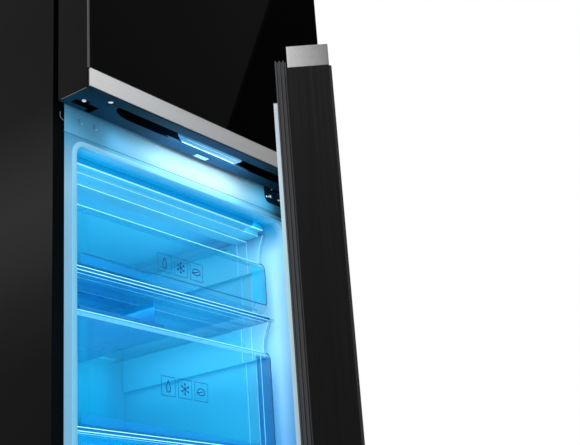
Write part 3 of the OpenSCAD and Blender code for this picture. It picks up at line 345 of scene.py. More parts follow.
# painted highlight along the lip round the freezer's mouth
M["lip_highlight_line"] = plastic("lip_highlight_line", srgb(132, 216, 250), rough=0.3, spec=0.2, vary=0.02)
M["zinc"] = painted("zinc_plate", (0.55, 0.55, 0.57), rough=0.35, spec=0.5)
M["chrome"] = brushed("screw_chrome", (0.8, 0.8, 0.82), X, rough=0.12, vary=0.05, power=0.05)
# black, with the freezer's blue light painted on
M["hinge"] = painted("hinge_black", srgb(8, 48, 70), rough=0.16, spec=0.4)
# painted highlight round the middle hinge's plate
M["hinge_rim_highlight"] = plastic("hinge_opening_highlight", srgb(96, 160, 190), rough=0.3, spec=0.3, vary=0.02)
# painted glint: screw heads glow white
M["screw"] = plastic("screw_painted_glint", srgb(222, 228, 232), rough=0.12, spec=0.8, vary=0.02,
                     emit=srgb(200, 222, 232), power=0.35)
# Trims, shelves and drawers
# the white trims with the freezer's blue light painted on
M["trim"] = plastic("trim_plastic", srgb(2, 100, 152), rough=0.16, spec=0.6, vary=0.03)
# painted highlight, glowing: pale beads along trim edges and wall ribs
M["bead"] = plastic("trim_bead_highlight", srgb(190, 238, 255), rough=0.16, spec=0.6, vary=0.03,
                    emit=srgb(90, 190, 235), power=0.25)
# painted blue light and shade: the white trim is painted a deeper blue above 702 mm
M["top_trim"] = plastic("top_trim_plastic", srgb(84, 186, 218), rough=0.2, spec=0.6, vary=0.03, painted_light=(
    Z, [(688, srgb(84, 186, 218)), (701.6, srgb(84, 186, 218)), (703, srgb(8, 184, 238)),
        (713, srgb(8, 184, 238))]))
# clear drawers with the freezer's blue light painted in
M["drawer"] = plastic("drawer_clear", srgb(30, 186, 232), rough=0.1, spec=0.5, alpha=0.09, vary=0.05,
                      rim=srgb(0, 120, 190), rim_alpha=0.6)
# painted highlight: pale lines on the drawer fronts and under the shelves, and a painted sheen under the rims
M["drawer_line"] = plastic("drawer_pale_highlight", srgb(150, 228, 252), rough=0.15, spec=0.5, alpha=0.6,
                           vary=0.03)
M["rim_sheen"] = plastic("drawer_rim_sheen", srgb(140, 220, 250), rough=0.15, spec=0.5, alpha=0.28, vary=0.05)
# painted shade on the drawer fronts: their outline, a band beside the tub and a band under it
M["drawer_dark"] = plastic("drawer_outline_shade", srgb(0, 88, 140), rough=0.3, spec=0.2, alpha=0.9, vary=0.03)
M["drawer_shade_band"] = plastic("drawer_shade_band", srgb(0, 108, 160), rough=0.15, spec=0.4, alpha=0.7, vary=0.05,
                           painted_light=(Z, [(473, srgb(0, 90, 150)), (541, srgb(10, 168, 214))]))
M["drawer_foot"] = plastic("drawer_foot_shade", srgb(0, 122, 188), rough=0.15, spec=0.4, alpha=0.45, vary=0.05)
M["print"] = plastic("tile_print", srgb(0, 48, 98), rough=0.4, spec=0.2, vary=0.03)
# painted shade: deeper blue bands under the shelves
M["under_shelf_shade"] = plastic("shelf_underside_shade", srgb(0, 146, 208), rough=0.15, spec=0.4, alpha=0.3, vary=0.05)
# painted shade: the ice maker is darker towards its bottom, with the freezer's blue light painted in
M["ice"] = plastic("ice_maker_plastic", srgb(0, 108, 168), rough=0.3, spec=0.4, alpha=0.6, vary=0.05, painted_light=(
    Z, [(420, srgb(0, 84, 148)), (480, srgb(0, 98, 164)), (510, srgb(0, 136, 198)),
        (530, srgb(0, 168, 222))]))
# clear glass with the freezer's blue light painted in
M["shelf_glass"] = plastic("shelf_glass", srgb(60, 180, 230), rough=0.04, spec=0.6, alpha=0.1, vary=0.02,
                           rim=srgb(0, 130, 190), rim_alpha=0.6)
M["fridge_glass"] = plastic("fridge_shelf_glass", srgb(190, 222, 228), rough=0.04, spec=0.6, alpha=0.3,
                            vary=0.02, rim=srgb(110, 170, 170))
M["clear"] = plastic("clear_bin", srgb(206, 228, 234), rough=0.1, spec=0.6, alpha=0.35, vary=0.02,
                     rim=srgb(130, 170, 180))
M["window"] = plastic("window_clear", srgb(190, 236, 250), rough=0.2, spec=0.5, emit=srgb(180, 236, 250),
                      power=0.35)
M["lamp"] = plastic("ceiling_lamp_lens", srgb(240, 246, 250), rough=0.3, spec=0.5, emit=srgb(240, 246, 250),
                    power=0.3)
# Rear, machine bay and filling
M["foam"] = plastic("foam_cream", srgb(226, 208, 160), rough=0.9, spec=0.1, vary=0.1, grain=400, depth=0.0004)
M["machine"] = painted("machine_enamel", srgb(20, 20, 21), rough=0.25, spec=0.5)
M["coil_dark"] = painted("condenser_paint", srgb(40, 40, 42), rough=0.45, spec=0.4)
M["coil"] = brushed("evaporator_metal", (0.7, 0.71, 0.73), X, rough=0.35, vary=0.15)
M["rear"] = painted("rear_sheet", srgb(80, 81, 83), rough=0.5, spec=0.3, grain=500, depth=0.00006)
M["foot"] = plastic("foot_plastic", srgb(38, 38, 40), rough=0.55, spec=0.3)
M["fan"] = plastic("fan_plastic", srgb(190, 193, 196), rough=0.45, spec=0.4)
M["tray"] = plastic("tray_plastic", srgb(184, 190, 194), rough=0.5, spec=0.4)
M["inlet"] = plastic("inlet_plastic", srgb(16, 16, 17), rough=0.35, spec=0.4)


def cap_material():
    """Dark plastic whose underside has the blue light from below painted on, brightest in the middle and with
    painted shade towards its front edge, and whose recess and slots are black.
    """
    n = Nodes("door_cap_plastic")
    under = n.graded(X, [(-297, srgb(0, 56, 84)), (-220, srgb(0, 50, 76)), (-150, srgb(1, 42, 62)),
                         (-60, srgb(4, 86, 128)), (60, srgb(9, 94, 138)), (150, srgb(2, 40, 60)),
                         (297, srgb(1, 34, 52))])
    # painted light: the lamp's own end of the recess is painted lighter
    recess = n.graded(X, [(-150, srgb(5, 6, 8)), (-118, srgb(4, 20, 32)), (-88, srgb(6, 34, 50)),
                          (74, srgb(6, 34, 50)), (100, srgb(5, 6, 8))])
    deep = n.along(Z, SPLIT_Z + 0.2, SPLIT_Z + 0.6)
    fine = n.noise(n.coords(), 700, 2)
    under = n.tint(n.tint(under, n.along(Y, 4, 46), 0.4), fine, 0.94)
    n.set(color=n.mix(deep, under, recess), rough=n.spread(fine, 0.4, 0.5), spec=0.2)
    return n.bump(fine, 0.15, 0.00003)


def lens_material():
    """Frosted lens, dim at its slanted end and brightest over the lamps."""
    n = Nodes("lamp_lens")
    glow = n.graded(X, [(-96, srgb(18, 104, 150)), (-60, srgb(58, 136, 182)), (-30, srgb(90, 162, 208)),
                        (20, srgb(116, 186, 230)), (75, srgb(146, 212, 246))])
    streak = n.noise(n.coords((24, 160, 160)), 1.0, 2)
    n.set(color=srgb(40, 110, 150), rough=0.22, spec=0.5, emit=n.tint(glow, streak, 0.6), power=0.75)
    return n.bump(streak, 0.2, 0.0002)


def black_glass(name, side_color, turn=0.0):
    """Opaque black glass whose ground side edges are paler than its face."""
    n = Nodes(name)
    front = n.calc("ABSOLUTE", n.axis(Y, out="Normal", turn=turn))
    edge = n.span(front, 0.55, 0.9, 1.0, 0.0)
    broad = n.noise(n.coords(), 2.0, 2)
    face = n.ramp(broad, [(NOISE_LOW, srgb(1, 1, 2)), (NOISE_HIGH, srgb(3, 3, 3))])
    n.set(color=n.mix(edge, face, side_color), rough=0.03, spec=0.25)
    return n.bump(n.noise(n.coords(), 40, 1), 0.02, 0.00005)


def freezer_liner_material():
    """White plastic with its lamps' blue light painted on: painted light, pale at the mouth and on the right
    wall, and painted shade, deeper to the back and the top.
    """
    n = Nodes("freezer_liner_plastic")
    low = n.mix(n.along(Y, 100, 420), srgb(48, 210, 248), srgb(3, 188, 240))
    high = n.mix(n.along(Y, 100, 420), srgb(104, 214, 244), srgb(72, 196, 236))
    body = n.mix(n.along(Z, 430, 600), low, high)
    # painted light on the right wall, paler higher up and strongest near the mouth
    wall = n.mix(n.along(Z, 290, 600), srgb(106, 168, 214), srgb(190, 234, 248))
    near_wall = n.calc("MULTIPLY", n.along(X, 195, IN_W - 0.5), n.along(Y, 112, 190, 1.0, 0.15))
    body = n.mix(near_wall, body, wall)
    # painted shade: a deep blue band under the ceiling, strongest a little behind the mouth
    behind = n.ramp(n.along(Y, FACE_Y, 190),
                    [(0.03, grey(0)), (0.2, grey(1)), (0.3, grey(1)), (1, grey(0.2))])
    body = n.mix(n.calc("MULTIPLY", n.along(Z, 664, FREEZER_TOP - 1), behind), body, srgb(16, 166, 214))
    # painted light on the flange round the mouth, brightest at its top a little right of the middle
    over = n.graded(X, [(-290, srgb(62, 156, 206)), (-220, srgb(80, 170, 214)), (-130, srgb(120, 200, 232)),
                        (60, srgb(170, 226, 240)), (180, srgb(120, 200, 236)), (270, srgb(40, 120, 160))])
    flange = n.mix(n.along(Z, 640, 727), srgb(150, 208, 238), over)
    body = n.mix(n.along(Y, FACE_Y + 1, FACE_Y + 8, 1.0, 0.0), body, flange)
    # painted highlight on the lip, whose outline is round at its upper corners: how far a point is past the
    # centres of these
    past = n.new("ShaderNodeCombineXYZ")
    sideways = n.calc("ABSOLUTE", n.calc("ADD", n.axis(X), -SHIFT[X] / 1000))
    for sock, place, end in ((X, sideways, IN_W + LIP_W), (Z, n.axis(Z), FREEZER_TOP + LIP_W)):
        beyond = n.calc("SUBTRACT", place, (end - LIP_R) / 1000)
        n.feed(past.inputs[sock], n.calc("MAXIMUM", beyond, 0.0))
    reach = n.new("ShaderNodeVectorMath", operation="LENGTH")
    n.feed(reach.inputs[0], past.outputs[0])
    inside = n.span(reach.outputs["Value"], LIP_R / 1000, (LIP_R + 1) / 1000, 1.0, 0.0)
    lip = n.calc("MULTIPLY", inside, n.along(Y, FACE_Y, FACE_Y + 3, 1.0, 0.0))
    fine = n.noise(n.coords(), 500, 2)
    n.set(color=n.mix(lip, body, srgb(150, 226, 255)), rough=n.spread(fine, 0.2, 0.28), spec=0.5)
    return n.bump(fine, 0.12, 0.00002)


M["cap"] = cap_material()
M["lens"] = lens_material()
M["glass"] = black_glass("door_glass_black", srgb(74, 76, 79))
M["lower_glass"] = black_glass("lower_door_glass_black", srgb(24, 25, 26), turn=-ANGLE)
M["freezer_liner"] = freezer_liner_material()


# Dressing: a copy of a node with merged faces and rounded edges takes the node's place
SMOOTH_ANGLE = math.radians(32)  # the faces at a flatter edge are shaded as one
BEVEL_ANGLE = math.radians(28)  # a sharper edge is rounded
MERGE_ANGLE = math.radians(0.6)
MERGE_DIST = 2e-6
LONG_EDGE = 3.0  # an edge shorter than this many widths stays sharp


def finish_mesh(obj):
    """Smooth shading that keeps large faces flat, so that the rounding keeps to the edges."""
    bm = bmesh.new()
    bm.from_mesh(obj.data)
    for f in bm.faces:
        f.smooth = True
    for e in bm.edges:
        e.smooth = len(e.link_faces) == 2 and e.calc_face_angle(math.pi) < SMOOTH_ANGLE
    bm.to_mesh(obj.data)
    bm.free()
    even = obj.modifiers.new("even_normals", "WEIGHTED_NORMAL")
    even.keep_sharp = True
    even.weight = 100
    with bpy.context.temp_override(object=obj, active_object=obj, selected_objects=[obj]):
        bpy.ops.object.modifier_apply(modifier=even.name)


def place_object(name, mesh, key):
    """A new object whose mesh has the one material M[key]."""
    obj = bpy.data.objects.new(name, mesh)
    bpy.context.scene.collection.objects.link(obj)
    mesh.materials.clear()
    mesh.materials.append(M[key])
    return obj


def dress(node, key, width, segments=2):
    """Puts a finished copy, its edges rounded by width in millimetres, in the node's place."""
    mesh = nodes[node].data.copy()
    bm = bmesh.new()
    bm.from_mesh(mesh)
    bmesh.ops.remove_doubles(bm, verts=bm.verts, dist=MERGE_DIST)
    bmesh.ops.dissolve_limit(bm, angle_limit=MERGE_ANGLE, verts=bm.verts, edges=bm.edges)
    width /= 1000
    edges = [e for e in bm.edges if len(e.link_faces) == 2 and e.calc_length() >= width * LONG_EDGE
             and e.calc_face_angle(0) >= BEVEL_ANGLE]
    bmesh.ops.bevel(bm, geom=edges, offset=width, offset_type="OFFSET", segments=segments, profile=0.5,
                    affect="EDGES", clamp_overlap=True)
    bmesh.ops.triangulate(bm, faces=[f for f in bm.faces if len(f.verts) > 4])
    bm.to_mesh(mesh)
    bm.free()
    obj = place_object(node + "_dressed", mesh, key)
    finish_mesh(obj)
    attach(obj, body_of[node])
    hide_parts(node)


# Each node with its material, the width of its rounded edges and, where it isn't 2, their segments
for entry in (("outer_shell", "cabinet", 0.5), ("rear_panel", "rear", 0.3), ("base_tray", "rear", 0.3),
              ("fridge_liner", "fridge_liner", 1.2), ("freezer_liner", "freezer_liner", 0.7, 3),
              ("crossbar_cover", "bar", 0.4), ("hole_plugs", "plug", 0.4), ("top_hinge", "zinc", 0.4),
              ("middle_hinge", "hinge", 0.6), ("bottom_hinge", "hinge", 0.6),
              ("hinge_cover", "top_cap", 2, 3)):
    dress(*entry)
for side in ("left", "right"):
    dress("front_foot_" + side, "foot", 0.8)
    dress("rear_roller_" + side, "foot", 0.6)
for entry in (("drip_tray", "tray", 0.6), ("bay_cover", "rear", 0.3), ("power_inlet", "inlet", 0.8),
              ("evaporator_cover", "freezer_liner", 0.6), ("fridge_air_duct", "fridge_liner", 1),
              ("fridge_lamp", "lamp", 1)):
    dress(*entry)
for level in LEVELS:
    dress("fridge_shelf_" + level, "fridge_glass", 0.6)
    dress("door_bin_" + level, "clear", 0.8)
    dress("freezer_drawer_" + level, "drawer", 0.8)
for entry in (("crisper_drawer", "clear", 0.8), ("freezer_shelf_lower", "shelf_glass", 0.6),
              ("freezer_shelf_upper", "shelf_glass", 0.6), ("freezer_shelf_trims", "trim", 0.7),
              ("freezer_top_trim", "top_trim", 1.2), ("ice_maker", "ice", 1.5)):
    dress(*entry)
for entry in (("fridge_door_glass", "glass", 0.3), ("fridge_door_frame", "door_side", 0.5),
              ("fridge_door_strip", "silver", 0.4), ("fridge_door_bottom_cap", "cap", 0.4),
              ("fridge_door_top_cap", "top_cap", 0.8), ("fridge_door_liner", "fridge_liner", 2, 3),
              ("fridge_door_gasket", "gasket_dark", 0.6), ("grip_lamp_lens", "lens", 0.6),
              ("grip_window", "window", 0.3), ("freezer_door_glass", "lower_glass", 0.3),
              ("freezer_door_frame", "lower_side", 0.5), ("freezer_door_rail", "silver_rail", 0.8, 3),
              ("freezer_door_liner", "door_liner", 4, 4), ("freezer_door_gasket", "gasket", 0.9, 3)):
    dress(*entry)

# These stay as they are, and only get a material
for node, key in (("insulation_foam", "foam"), ("fridge_door_foam", "foam"), ("freezer_door_foam", "foam"),
                  ("hinge_pins", "chrome"), ("hinge_screws", "chrome"), ("compressor", "machine"),
                  ("condenser", "coil_dark"), ("condenser_fan", "fan"), ("evaporator", "coil"),
                  ("evaporator_fan", "fan")):
    nodes[node].data.materials.clear()
    nodes[node].data.materials.append(M[key])


# Small details
def piece(name, bm, key, body):
    """Turns a finished bmesh into a named object with the material M[key]."""
    mesh = bpy.data.meshes.new(name)
    bm.to_mesh(mesh)
    bm.free()
    obj = place_object(name, mesh, key)
    finish_mesh(obj)
    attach(obj, body)


def strip(bm, path, width, place, closed=False):
    """A flat line of the given width along points of a plane, both in millimetres."""
    count = len(path)
    rows = []
    for i, p in enumerate(path):
        a = path[i - 1] if i or closed else p
        b = path[(i + 1) % count] if i < count - 1 or closed else p
        d = Vector((b[0] - a[0], b[1] - a[1])).normalized()
        out = Vector((-d.y, d.x)) * (width / 2)
        rows.append([bm.verts.new(place(p[0] + s * out.x, p[1] + s * out.y)) for s in (-1, 1)])
    for i in range(count if closed else count - 1):
        a, b = rows[i], rows[(i + 1) % count]
        bm.faces.new((a[0], b[0], b[1], a[1]))


def on_drawer(x, z, depth=0.15):
    """A point on a freezer drawer's front, this much before it."""
    return P(x, DRAWER_Y - depth, z)


def on_face(x, z, depth=0.15):
    """A point on the cabinet's front, this much before it."""
    return P(x, FACE_Y - depth, z)


def arc(cx, cz, r, start, turn, count=6):
    """Points of an arc from the angle start, in degrees."""
    return [(cx + r * math.cos(math.radians(start + turn * k / count)),
             cz + r * math.sin(math.radians(start + turn * k / count))) for k in range(count + 1)]


def circle(bm, center, u, v, r, count):
    """Vertices of a circle in the plane of u and v, r in millimetres."""
    turns = [2 * math.pi * k / count for k in range(count)]
    return [bm.verts.new(center + (u * math.cos(a) + v * math.sin(a)) * r / 1000) for a in turns]


def bridge(bm, a, b):
    """Faces between two closed rows of vertices."""
    for k in range(len(a)):
        following = (k + 1) % len(a)
        bm.faces.new((a[k], a[following], b[following], b[k]))


def rod(bm, a, b, r, sides=8):
    """A straight bead between two points, r in millimetres."""
    axis = (b - a).normalized()
    u = axis.orthogonal().normalized()
    v = axis.cross(u)
    ends = [circle(bm, p, u, v, r, sides) for p in (a, b)]
    bridge(bm, *ends)
    for end in ends:
        bm.faces.new(end)
    bmesh.ops.recalc_face_normals(bm, faces=bm.faces)


# Outlined tiles with a drop, a snow star and a leaf of no one's design
TILE_W = 31.0
TILE_H = 30.0
TILE_STEP = 38.0
TILE_X = -51.0
TILE_LINE = 1.1
DROP_W, DROP_H, DROP_LINE, DROP_POINTS = 7, 9, 1.6, 28
STAR_R, STAR_LINE, TWIG, TWIG_LINE, TWIG_AT, TWIG_TURN = 10, 1.4, 4, 1.0, 0.6, 0.6
LEAF_R, LEAF_FLAT, LEAF_LINE, STEM_LINE, LEAF_POINTS = 9, 0.6, 1.6, 1.5, 24


def drop(bm, cx, cz):
    turns = [2 * math.pi * k / DROP_POINTS for k in range(DROP_POINTS)]
    strip(bm, [(cx + DROP_W * math.sin(a) * math.sin(a / 2) ** 1.5, cz + DROP_H * math.cos(a))
               for a in turns], DROP_LINE, on_drawer, True)


def star(bm, cx, cz):
    for k in range(3):
        a = math.pi * k / 3 + math.pi / 2
        dx, dz = STAR_R * math.cos(a), STAR_R * math.sin(a)
        strip(bm, [(cx - dx, cz - dz), (cx + dx, cz + dz)], STAR_LINE, on_drawer)
        for s in (-1, 1):
            for t in (-TWIG_TURN, TWIG_TURN):
                x, z = cx + s * dx * TWIG_AT, cz + s * dz * TWIG_AT
                b = a + t if s > 0 else a + math.pi + t
                strip(bm, [(x, z), (x + TWIG * math.cos(b), z + TWIG * math.sin(b))], TWIG_LINE, on_drawer)


def leaf(bm, cx, cz):
    turns = [2 * math.pi * k / LEAF_POINTS for k in range(LEAF_POINTS)]
    strip(bm, [(cx + LEAF_R * math.cos(a), cz + LEAF_FLAT * LEAF_R * math.sin(a)) for a in turns], LEAF_LINE,
          on_drawer, True)
    strip(bm, [(cx - 12, cz - 3), (cx + 5, cz + 1)], STEM_LINE, on_drawer)


for level, z in (("upper", 568.0), ("middle", 367.5), ("lower", 150.0)):
    bm = bmesh.new()
    for k, sign in enumerate((drop, star, leaf)):
        x = TILE_X + TILE_STEP * k
        outline = [(x, z), (x + TILE_W, z), (x + TILE_W, z + TILE_H), (x, z + TILE_H)]
        strip(bm, outline, TILE_LINE, on_drawer, True)
        sign(bm, x + TILE_W / 2, z + TILE_H / 2)
    piece("tiles_" + level, bm, "print", body_of["freezer_drawer_" + level])

# Screws: the way a head faces, with a direction across it
FRONT = ((0, -1, 0), (0, 0, 1))
REAR = ((0, 1, 0), (0, 0, 1))
UP = ((0, 0, 1), (1, 0, 0))
DOWN = ((0, 0, -1), (1, 0, 0))
# A head's rings, as shares of its radius and height, and its recess: the arms, the notches between, the level
HEAD = ((1.0, 0.0), (1.0, 0.35), (0.93, 0.62), (0.75, 0.85), (0.5, 0.97), (0.3, 1.0))
HEAD_SIDES = 24
CROSS_LONG, CROSS_SHORT, CROSS_Z = 0.28, 0.12, 0.35


def screw(name, center, facing, r, dome, body="cabinet"):
    """A domed screw head with a cross recess, in the screw material with its painted glint."""
    bm = bmesh.new()
    axis, u = (Vector(d) for d in facing)
    v = axis.cross(u)
    loops = [circle(bm, center + axis * dome * h / 1000, u, v, r * f, HEAD_SIDES) for f, h in HEAD]
    for a, b in zip(loops, loops[1:]):
        bridge(bm, a, b)
    inner = []
    for k in range(HEAD_SIDES):
        a = 2 * math.pi * k / HEAD_SIDES
        share = CROSS_LONG if abs(math.cos(2 * a)) > 0.7 else CROSS_SHORT
        inner.append(bm.verts.new(center + (u * math.cos(a) + v * math.sin(a)) * r * share / 1000
                                  + axis * dome * CROSS_Z / 1000))
    bridge(bm, loops[-1], inner)
    bm.faces.new(inner)
    bmesh.ops.recalc_face_normals(bm, faces=bm.faces)
    piece(name, bm, "screw", body)


# small heads where glints show, each with the screw material's painted glint
GLINTS = ((203.8, 753.6, 1.7), (209.7, 755, 1.4), (220, 771, 1.0), (238.8, 755, 1.6))  # x, z, radius
for i, x in enumerate((HALF_W - 84, HALF_W - 54)):
    screw("bracket_screw_%d" % i, on_face(x, SPLIT_Z - 9.5, 0.05), FRONT, 3.2, 2.3)
for i, (x, z, r) in enumerate(GLINTS):
    screw("bracket_glint_%d" % i, on_face(x, z, 0.05), FRONT, r, 1.2)
screw("slot_screw", P(-HALF_W + 33, 46.5, SPLIT_Z + 6.0), DOWN, 3.4, 2.4, "upper_door")
screw("cap_screw", P(-HALF_W + 59, 17.5, SPLIT_Z + 3.0), DOWN, 4.5, 2.6, "upper_door")
screw("cap_screw_right", P(HALF_W - 59, 17.5, SPLIT_Z + 3.0), DOWN, 4.5, 2.6, "upper_door")

# Beads with painted highlights along the steps of the trim under the ceiling and of the shelf trims, and
# painted highlights and shade bands under the shelves
CEILING_BEADS = ((108, 702, 1.3), (118, 693, 0.4), (148, 690, 0.8))  # y, z, radius
SHELF_BEADS = ((108, 0.8, 0.5), (108, 6.4, 0.45), (120, 6.4, 0.4))  # y, depth under the top, radius
# painted highlights and painted shade bands under the shelves
UNDER_SHELF_HIGHLIGHTS = ((142, 1.4), (192, 1.4))  # y, width
UNDER_SHELF_SHADES = ((133, 5), (164, 13), (212, 20))
UNDERSIDE = 4.3  # just under the glass
bm = bmesh.new()
for y, z, r in CEILING_BEADS:
    rod(bm, P(-FRONT_HALF + 1, y, z), P(FRONT_HALF - 1, y, z), r)
piece("ceiling_trim_beads", bm, "bead", "cabinet")
bm = bmesh.new()
for top in SHELVES:
    for y, drop_z, r in SHELF_BEADS:
        rod(bm, P(-EDGE_HALF + 1, y, top - drop_z), P(EDGE_HALF - 1, y, top - drop_z), r)
piece("shelf_trim_beads", bm, "bead", "cabinet")
for name, key, lines in (("shelf_underside_highlights", "drawer_line", UNDER_SHELF_HIGHLIGHTS),
                         ("shelf_underside_shade_bands", "under_shelf_shade", UNDER_SHELF_SHADES)):
    bm = bmesh.new()
    for top in SHELVES:
        for y, wide in lines:
            strip(bm, [(-EDGE_HALF + 1, y), (EDGE_HALF - 1, y)], wide, lambda x, y: P(x, y, top - UNDERSIDE))
    piece(name, bm, key, "cabinet")

# Lines of the drawer fronts. Each front has its lower edge, the lower end of its outline and its rim
FRONTS = {"upper": (541.8, 559.5, 636.0), "middle": (304.8, 304.8, 473.0), "lower": (93.8, 93.8, 232.0)}
RIM_DEPTH, OUTLINE_DEPTH, TUB_DEPTH, SHEEN_DEPTH, BAND_DEPTH, FOOT_DEPTH = 0.14, 0.12, 0.1, 0.09, 0.05, 0.04
OUTLINE_W = 2.2
OUTLINE_IN = 0.7  # from the front's edge
RAISED_R = 6.0  # lower corner of an outline that ends above the front's lower edge
BAND_X = 187.0
FOOT_OUT = 16  # what the lower band reaches past the tub at the left


def before(depth):
    """on_drawer with another depth, for strip."""
    return lambda x, z: on_drawer(x, z, depth)


for level, (low, line_low, rim) in FRONTS.items():
    body = body_of["freezer_drawer_" + level]
    raised = line_low > low
    x, r = FRONT_HALF - OUTLINE_IN, FRONT_R - OUTLINE_IN
    low_r = RAISED_R if raised else r
    # painted highlights: pale lines along the rim and the tub's edge, with a painted sheen under the rim
    bm = bmesh.new()
    strip(bm, [(-x + 2, rim - 1), (x - r, rim - 1)], 1.8, before(RIM_DEPTH))
    if not raised:
        strip(bm, [(TUB_HALF - 1, low + 6), (TUB_HALF - 1, rim - 2)], 1.6, before(TUB_DEPTH))
    piece("front_lines_" + level, bm, "drawer_line", body)
    if not raised:
        bm = bmesh.new()
        strip(bm, [(-x + 2, rim - 6), (x - r, rim - 6)], 7.0, before(SHEEN_DEPTH))
        piece("front_rim_sheen_" + level, bm, "rim_sheen", body)
    # painted shade: a dark outline, and darker bands beside and under the tub
    bm = bmesh.new()
    strip(bm, arc(x - r, rim - OUTLINE_IN - r, r, 90, -90)
          + arc(x - low_r, line_low + OUTLINE_IN + low_r, low_r, 0, -90) + [(-x + r, line_low + OUTLINE_IN)],
          OUTLINE_W, before(OUTLINE_DEPTH))
    strip(bm, [(-x + r, rim - 2.6), (x - r, rim - 2.6)], 0.7, before(OUTLINE_DEPTH))
    piece("front_outline_" + level, bm, "drawer_dark", body)
    bm = bmesh.new()
    middle = (BAND_X + x) / 2
    strip(bm, [(middle, line_low + 0.55 * low_r), (middle, rim - 7)], x - BAND_X, before(BAND_DEPTH))
    piece("front_band_" + level, bm, "drawer_shade_band", body)
    bm = bmesh.new()
    foot_x0, foot_x1 = -TUB_HALF - FOOT_OUT, TUB_HALF - 2
    corners = ((foot_x0, low + 2), (foot_x1, low + 2), (foot_x1, low + 6), (foot_x0, low + 17))
    bm.faces.new([bm.verts.new(on_drawer(*corner, FOOT_DEPTH)) for corner in corners])
    piece("front_foot_band_" + level, bm, "drawer_foot", body)

# A painted highlight on the pressed outline of the unused left hinge on the front fold, and a painted
# highlight along the lower edge of the upper door's side
NOTCH_X, NOTCH_Z, NOTCH_R = -276.8, 752.2, 7.4
bm = bmesh.new()
strip(bm, [(-283.3, 757)] + arc(NOTCH_X, NOTCH_Z, NOTCH_R, 180, 88) + [(-274.5, 744.8)], 0.7, on_face)
piece("fold_notch_line", bm, "notch", "cabinet")
bm = bmesh.new()
# a painted highlight along the side's lower edge
strip(bm, [(6, SPLIT_Z + 0.6), (59, SPLIT_Z + 0.6)], 1.0, lambda y, z: P(-HALF_W - 0.05, y, z))
piece("side_lower_edge", bm, "edge", "upper_door")

# The middle hinge's domed boss, and a painted highlight along the edge of the opening round its plate
PLATE_X0, PLATE_X1, PLATE_Z0, PLATE_R = 198.5, 289.5, 743.0, 12.0
PLATE_GAP = 0.6
BOSS_X, BOSS_Z = 226.0, 760.5
BOSS = ((9, 0), (8.7, 0.8), (7.4, 1.5), (5, 1.9), (2, 2.0))  # radius, height
BOSS_SIDES = 24
bm = bmesh.new()
across, upright = Vector((1, 0, 0)), Vector((0, 0, 1))
loops = [circle(bm, on_face(BOSS_X, BOSS_Z, h), across, upright, r, BOSS_SIDES) for r, h in BOSS]
for a, b in zip(loops, loops[1:]):
    bridge(bm, a, b)
bm.faces.new(loops[-1])
bmesh.ops.recalc_face_normals(bm, faces=bm.faces)
piece("hinge_boss", bm, "hinge", "cabinet")
bm = bmesh.new()
strip(bm, [(PLATE_X0 - PLATE_GAP, 772)]
      + arc(PLATE_X0 + PLATE_R, PLATE_Z0 + PLATE_R, PLATE_R + PLATE_GAP, 180, 90)
      + [(PLATE_X1, PLATE_Z0 - PLATE_GAP)], 1.0, on_face)
piece("hinge_opening_highlight", bm, "hinge_rim_highlight", "cabinet")

# Rear panel's pressed beads, its and the bay cover's screws, folds of the shell and the hinge cover's screws
BEAD_Y = CAB_D - 0.4
BEAD_R = 1.6
REAR_EDGE = HALF_W - 11
REAR_LEVELS = (60, 200, 262, 620, 980, 1340, 1700, 1965)
FOLD_IN = 14  # fold line from the shell's rear edge
FOLD_W = 0.8
bm = bmesh.new()
for x in (-150, 150):
    rod(bm, P(x, BEAD_Y, 330), P(x, BEAD_Y, CAB_H - 150), BEAD_R)
for z in (300, CAB_H - 120):
    rod(bm, P(-180, BEAD_Y, z), P(180, BEAD_Y, z), BEAD_R)
piece("rear_beads", bm, "rear", "cabinet")
rear_screws = [(s * REAR_EDGE, z) for s in (-1, 1) for z in REAR_LEVELS]
rear_screws += [(x, z) for x in (-150, 0, 150) for z in (BAY_TOP - 8, BAY_TOP + 10, CAB_H - 12)]
for i, (x, z) in enumerate(rear_screws):
    screw("rear_screw_%d" % i, P(x, CAB_D - 0.1, z), REAR, 3.4, 2.2)
bm = bmesh.new()
for s in (-1, 1):
    strip(bm, [(CAB_D - FOLD_IN, 34), (CAB_D - FOLD_IN, CAB_H - 1)], FOLD_W,
          lambda y, z: P(s * (HALF_W + 0.06), y, z))
for y in (CAB_D - FOLD_IN, FACE_Y + 16):
    strip(bm, [(-HALF_W + 1, y), (HALF_W - 1, y)], FOLD_W, lambda x, y: P(x, y, CAB_H + 0.06))
piece("shell_fold_lines", bm, "fold", "cabinet")
for i, (x, y) in enumerate(((PIN_X - 62, FACE_Y + 40), (HALF_W - 14, FACE_Y + 40), (PIN_X - 62, PIN_Y))):
    screw("cover_screw_%d" % i, P(x, y, CAB_H + COVER_H - 0.1), UP, 3.2, 1.6)

# Upright ribs on the side walls and the curved edges of the raised blocks, with painted highlights, and a
# painted highlight along the lip's edge
RIB_R = 0.6
RIB_Y = (161, 184)
CURVE_R = 0.8
CURVE_Y = DRAWER_Y + 14
CURVE_OUT = 14
CURVE_STEPS = 8
CURVE_TURN = math.radians(15)  # at each step
LINE_R = 17.6
LINE_OUT = 1.6  # past the freezer's opening
bm = bmesh.new()
for side in (-1, 1):
    x = side * (IN_W - 0.2)
    for y in RIB_Y:
        rod(bm, P(x, y, FREEZER_FLOOR + 4), P(x, y, FREEZER_TOP - 14), RIB_R)
    x = side * (IN_W - LEDGE_W - 0.2)
    for top, low in BLOCKS:
        for y in RIB_Y:
            rod(bm, P(x, y, low + 1), P(x, y, top - 1), RIB_R)
        curve = [P(x, CURVE_Y + CURVE_OUT * math.sin(CURVE_TURN * k), top - (top - low) * k / CURVE_STEPS)
                 for k in range(CURVE_STEPS + 1)]
        for a, b in zip(curve, curve[1:]):
            rod(bm, a, b, CURVE_R)
piece("wall_ribs", bm, "bead", "cabinet")
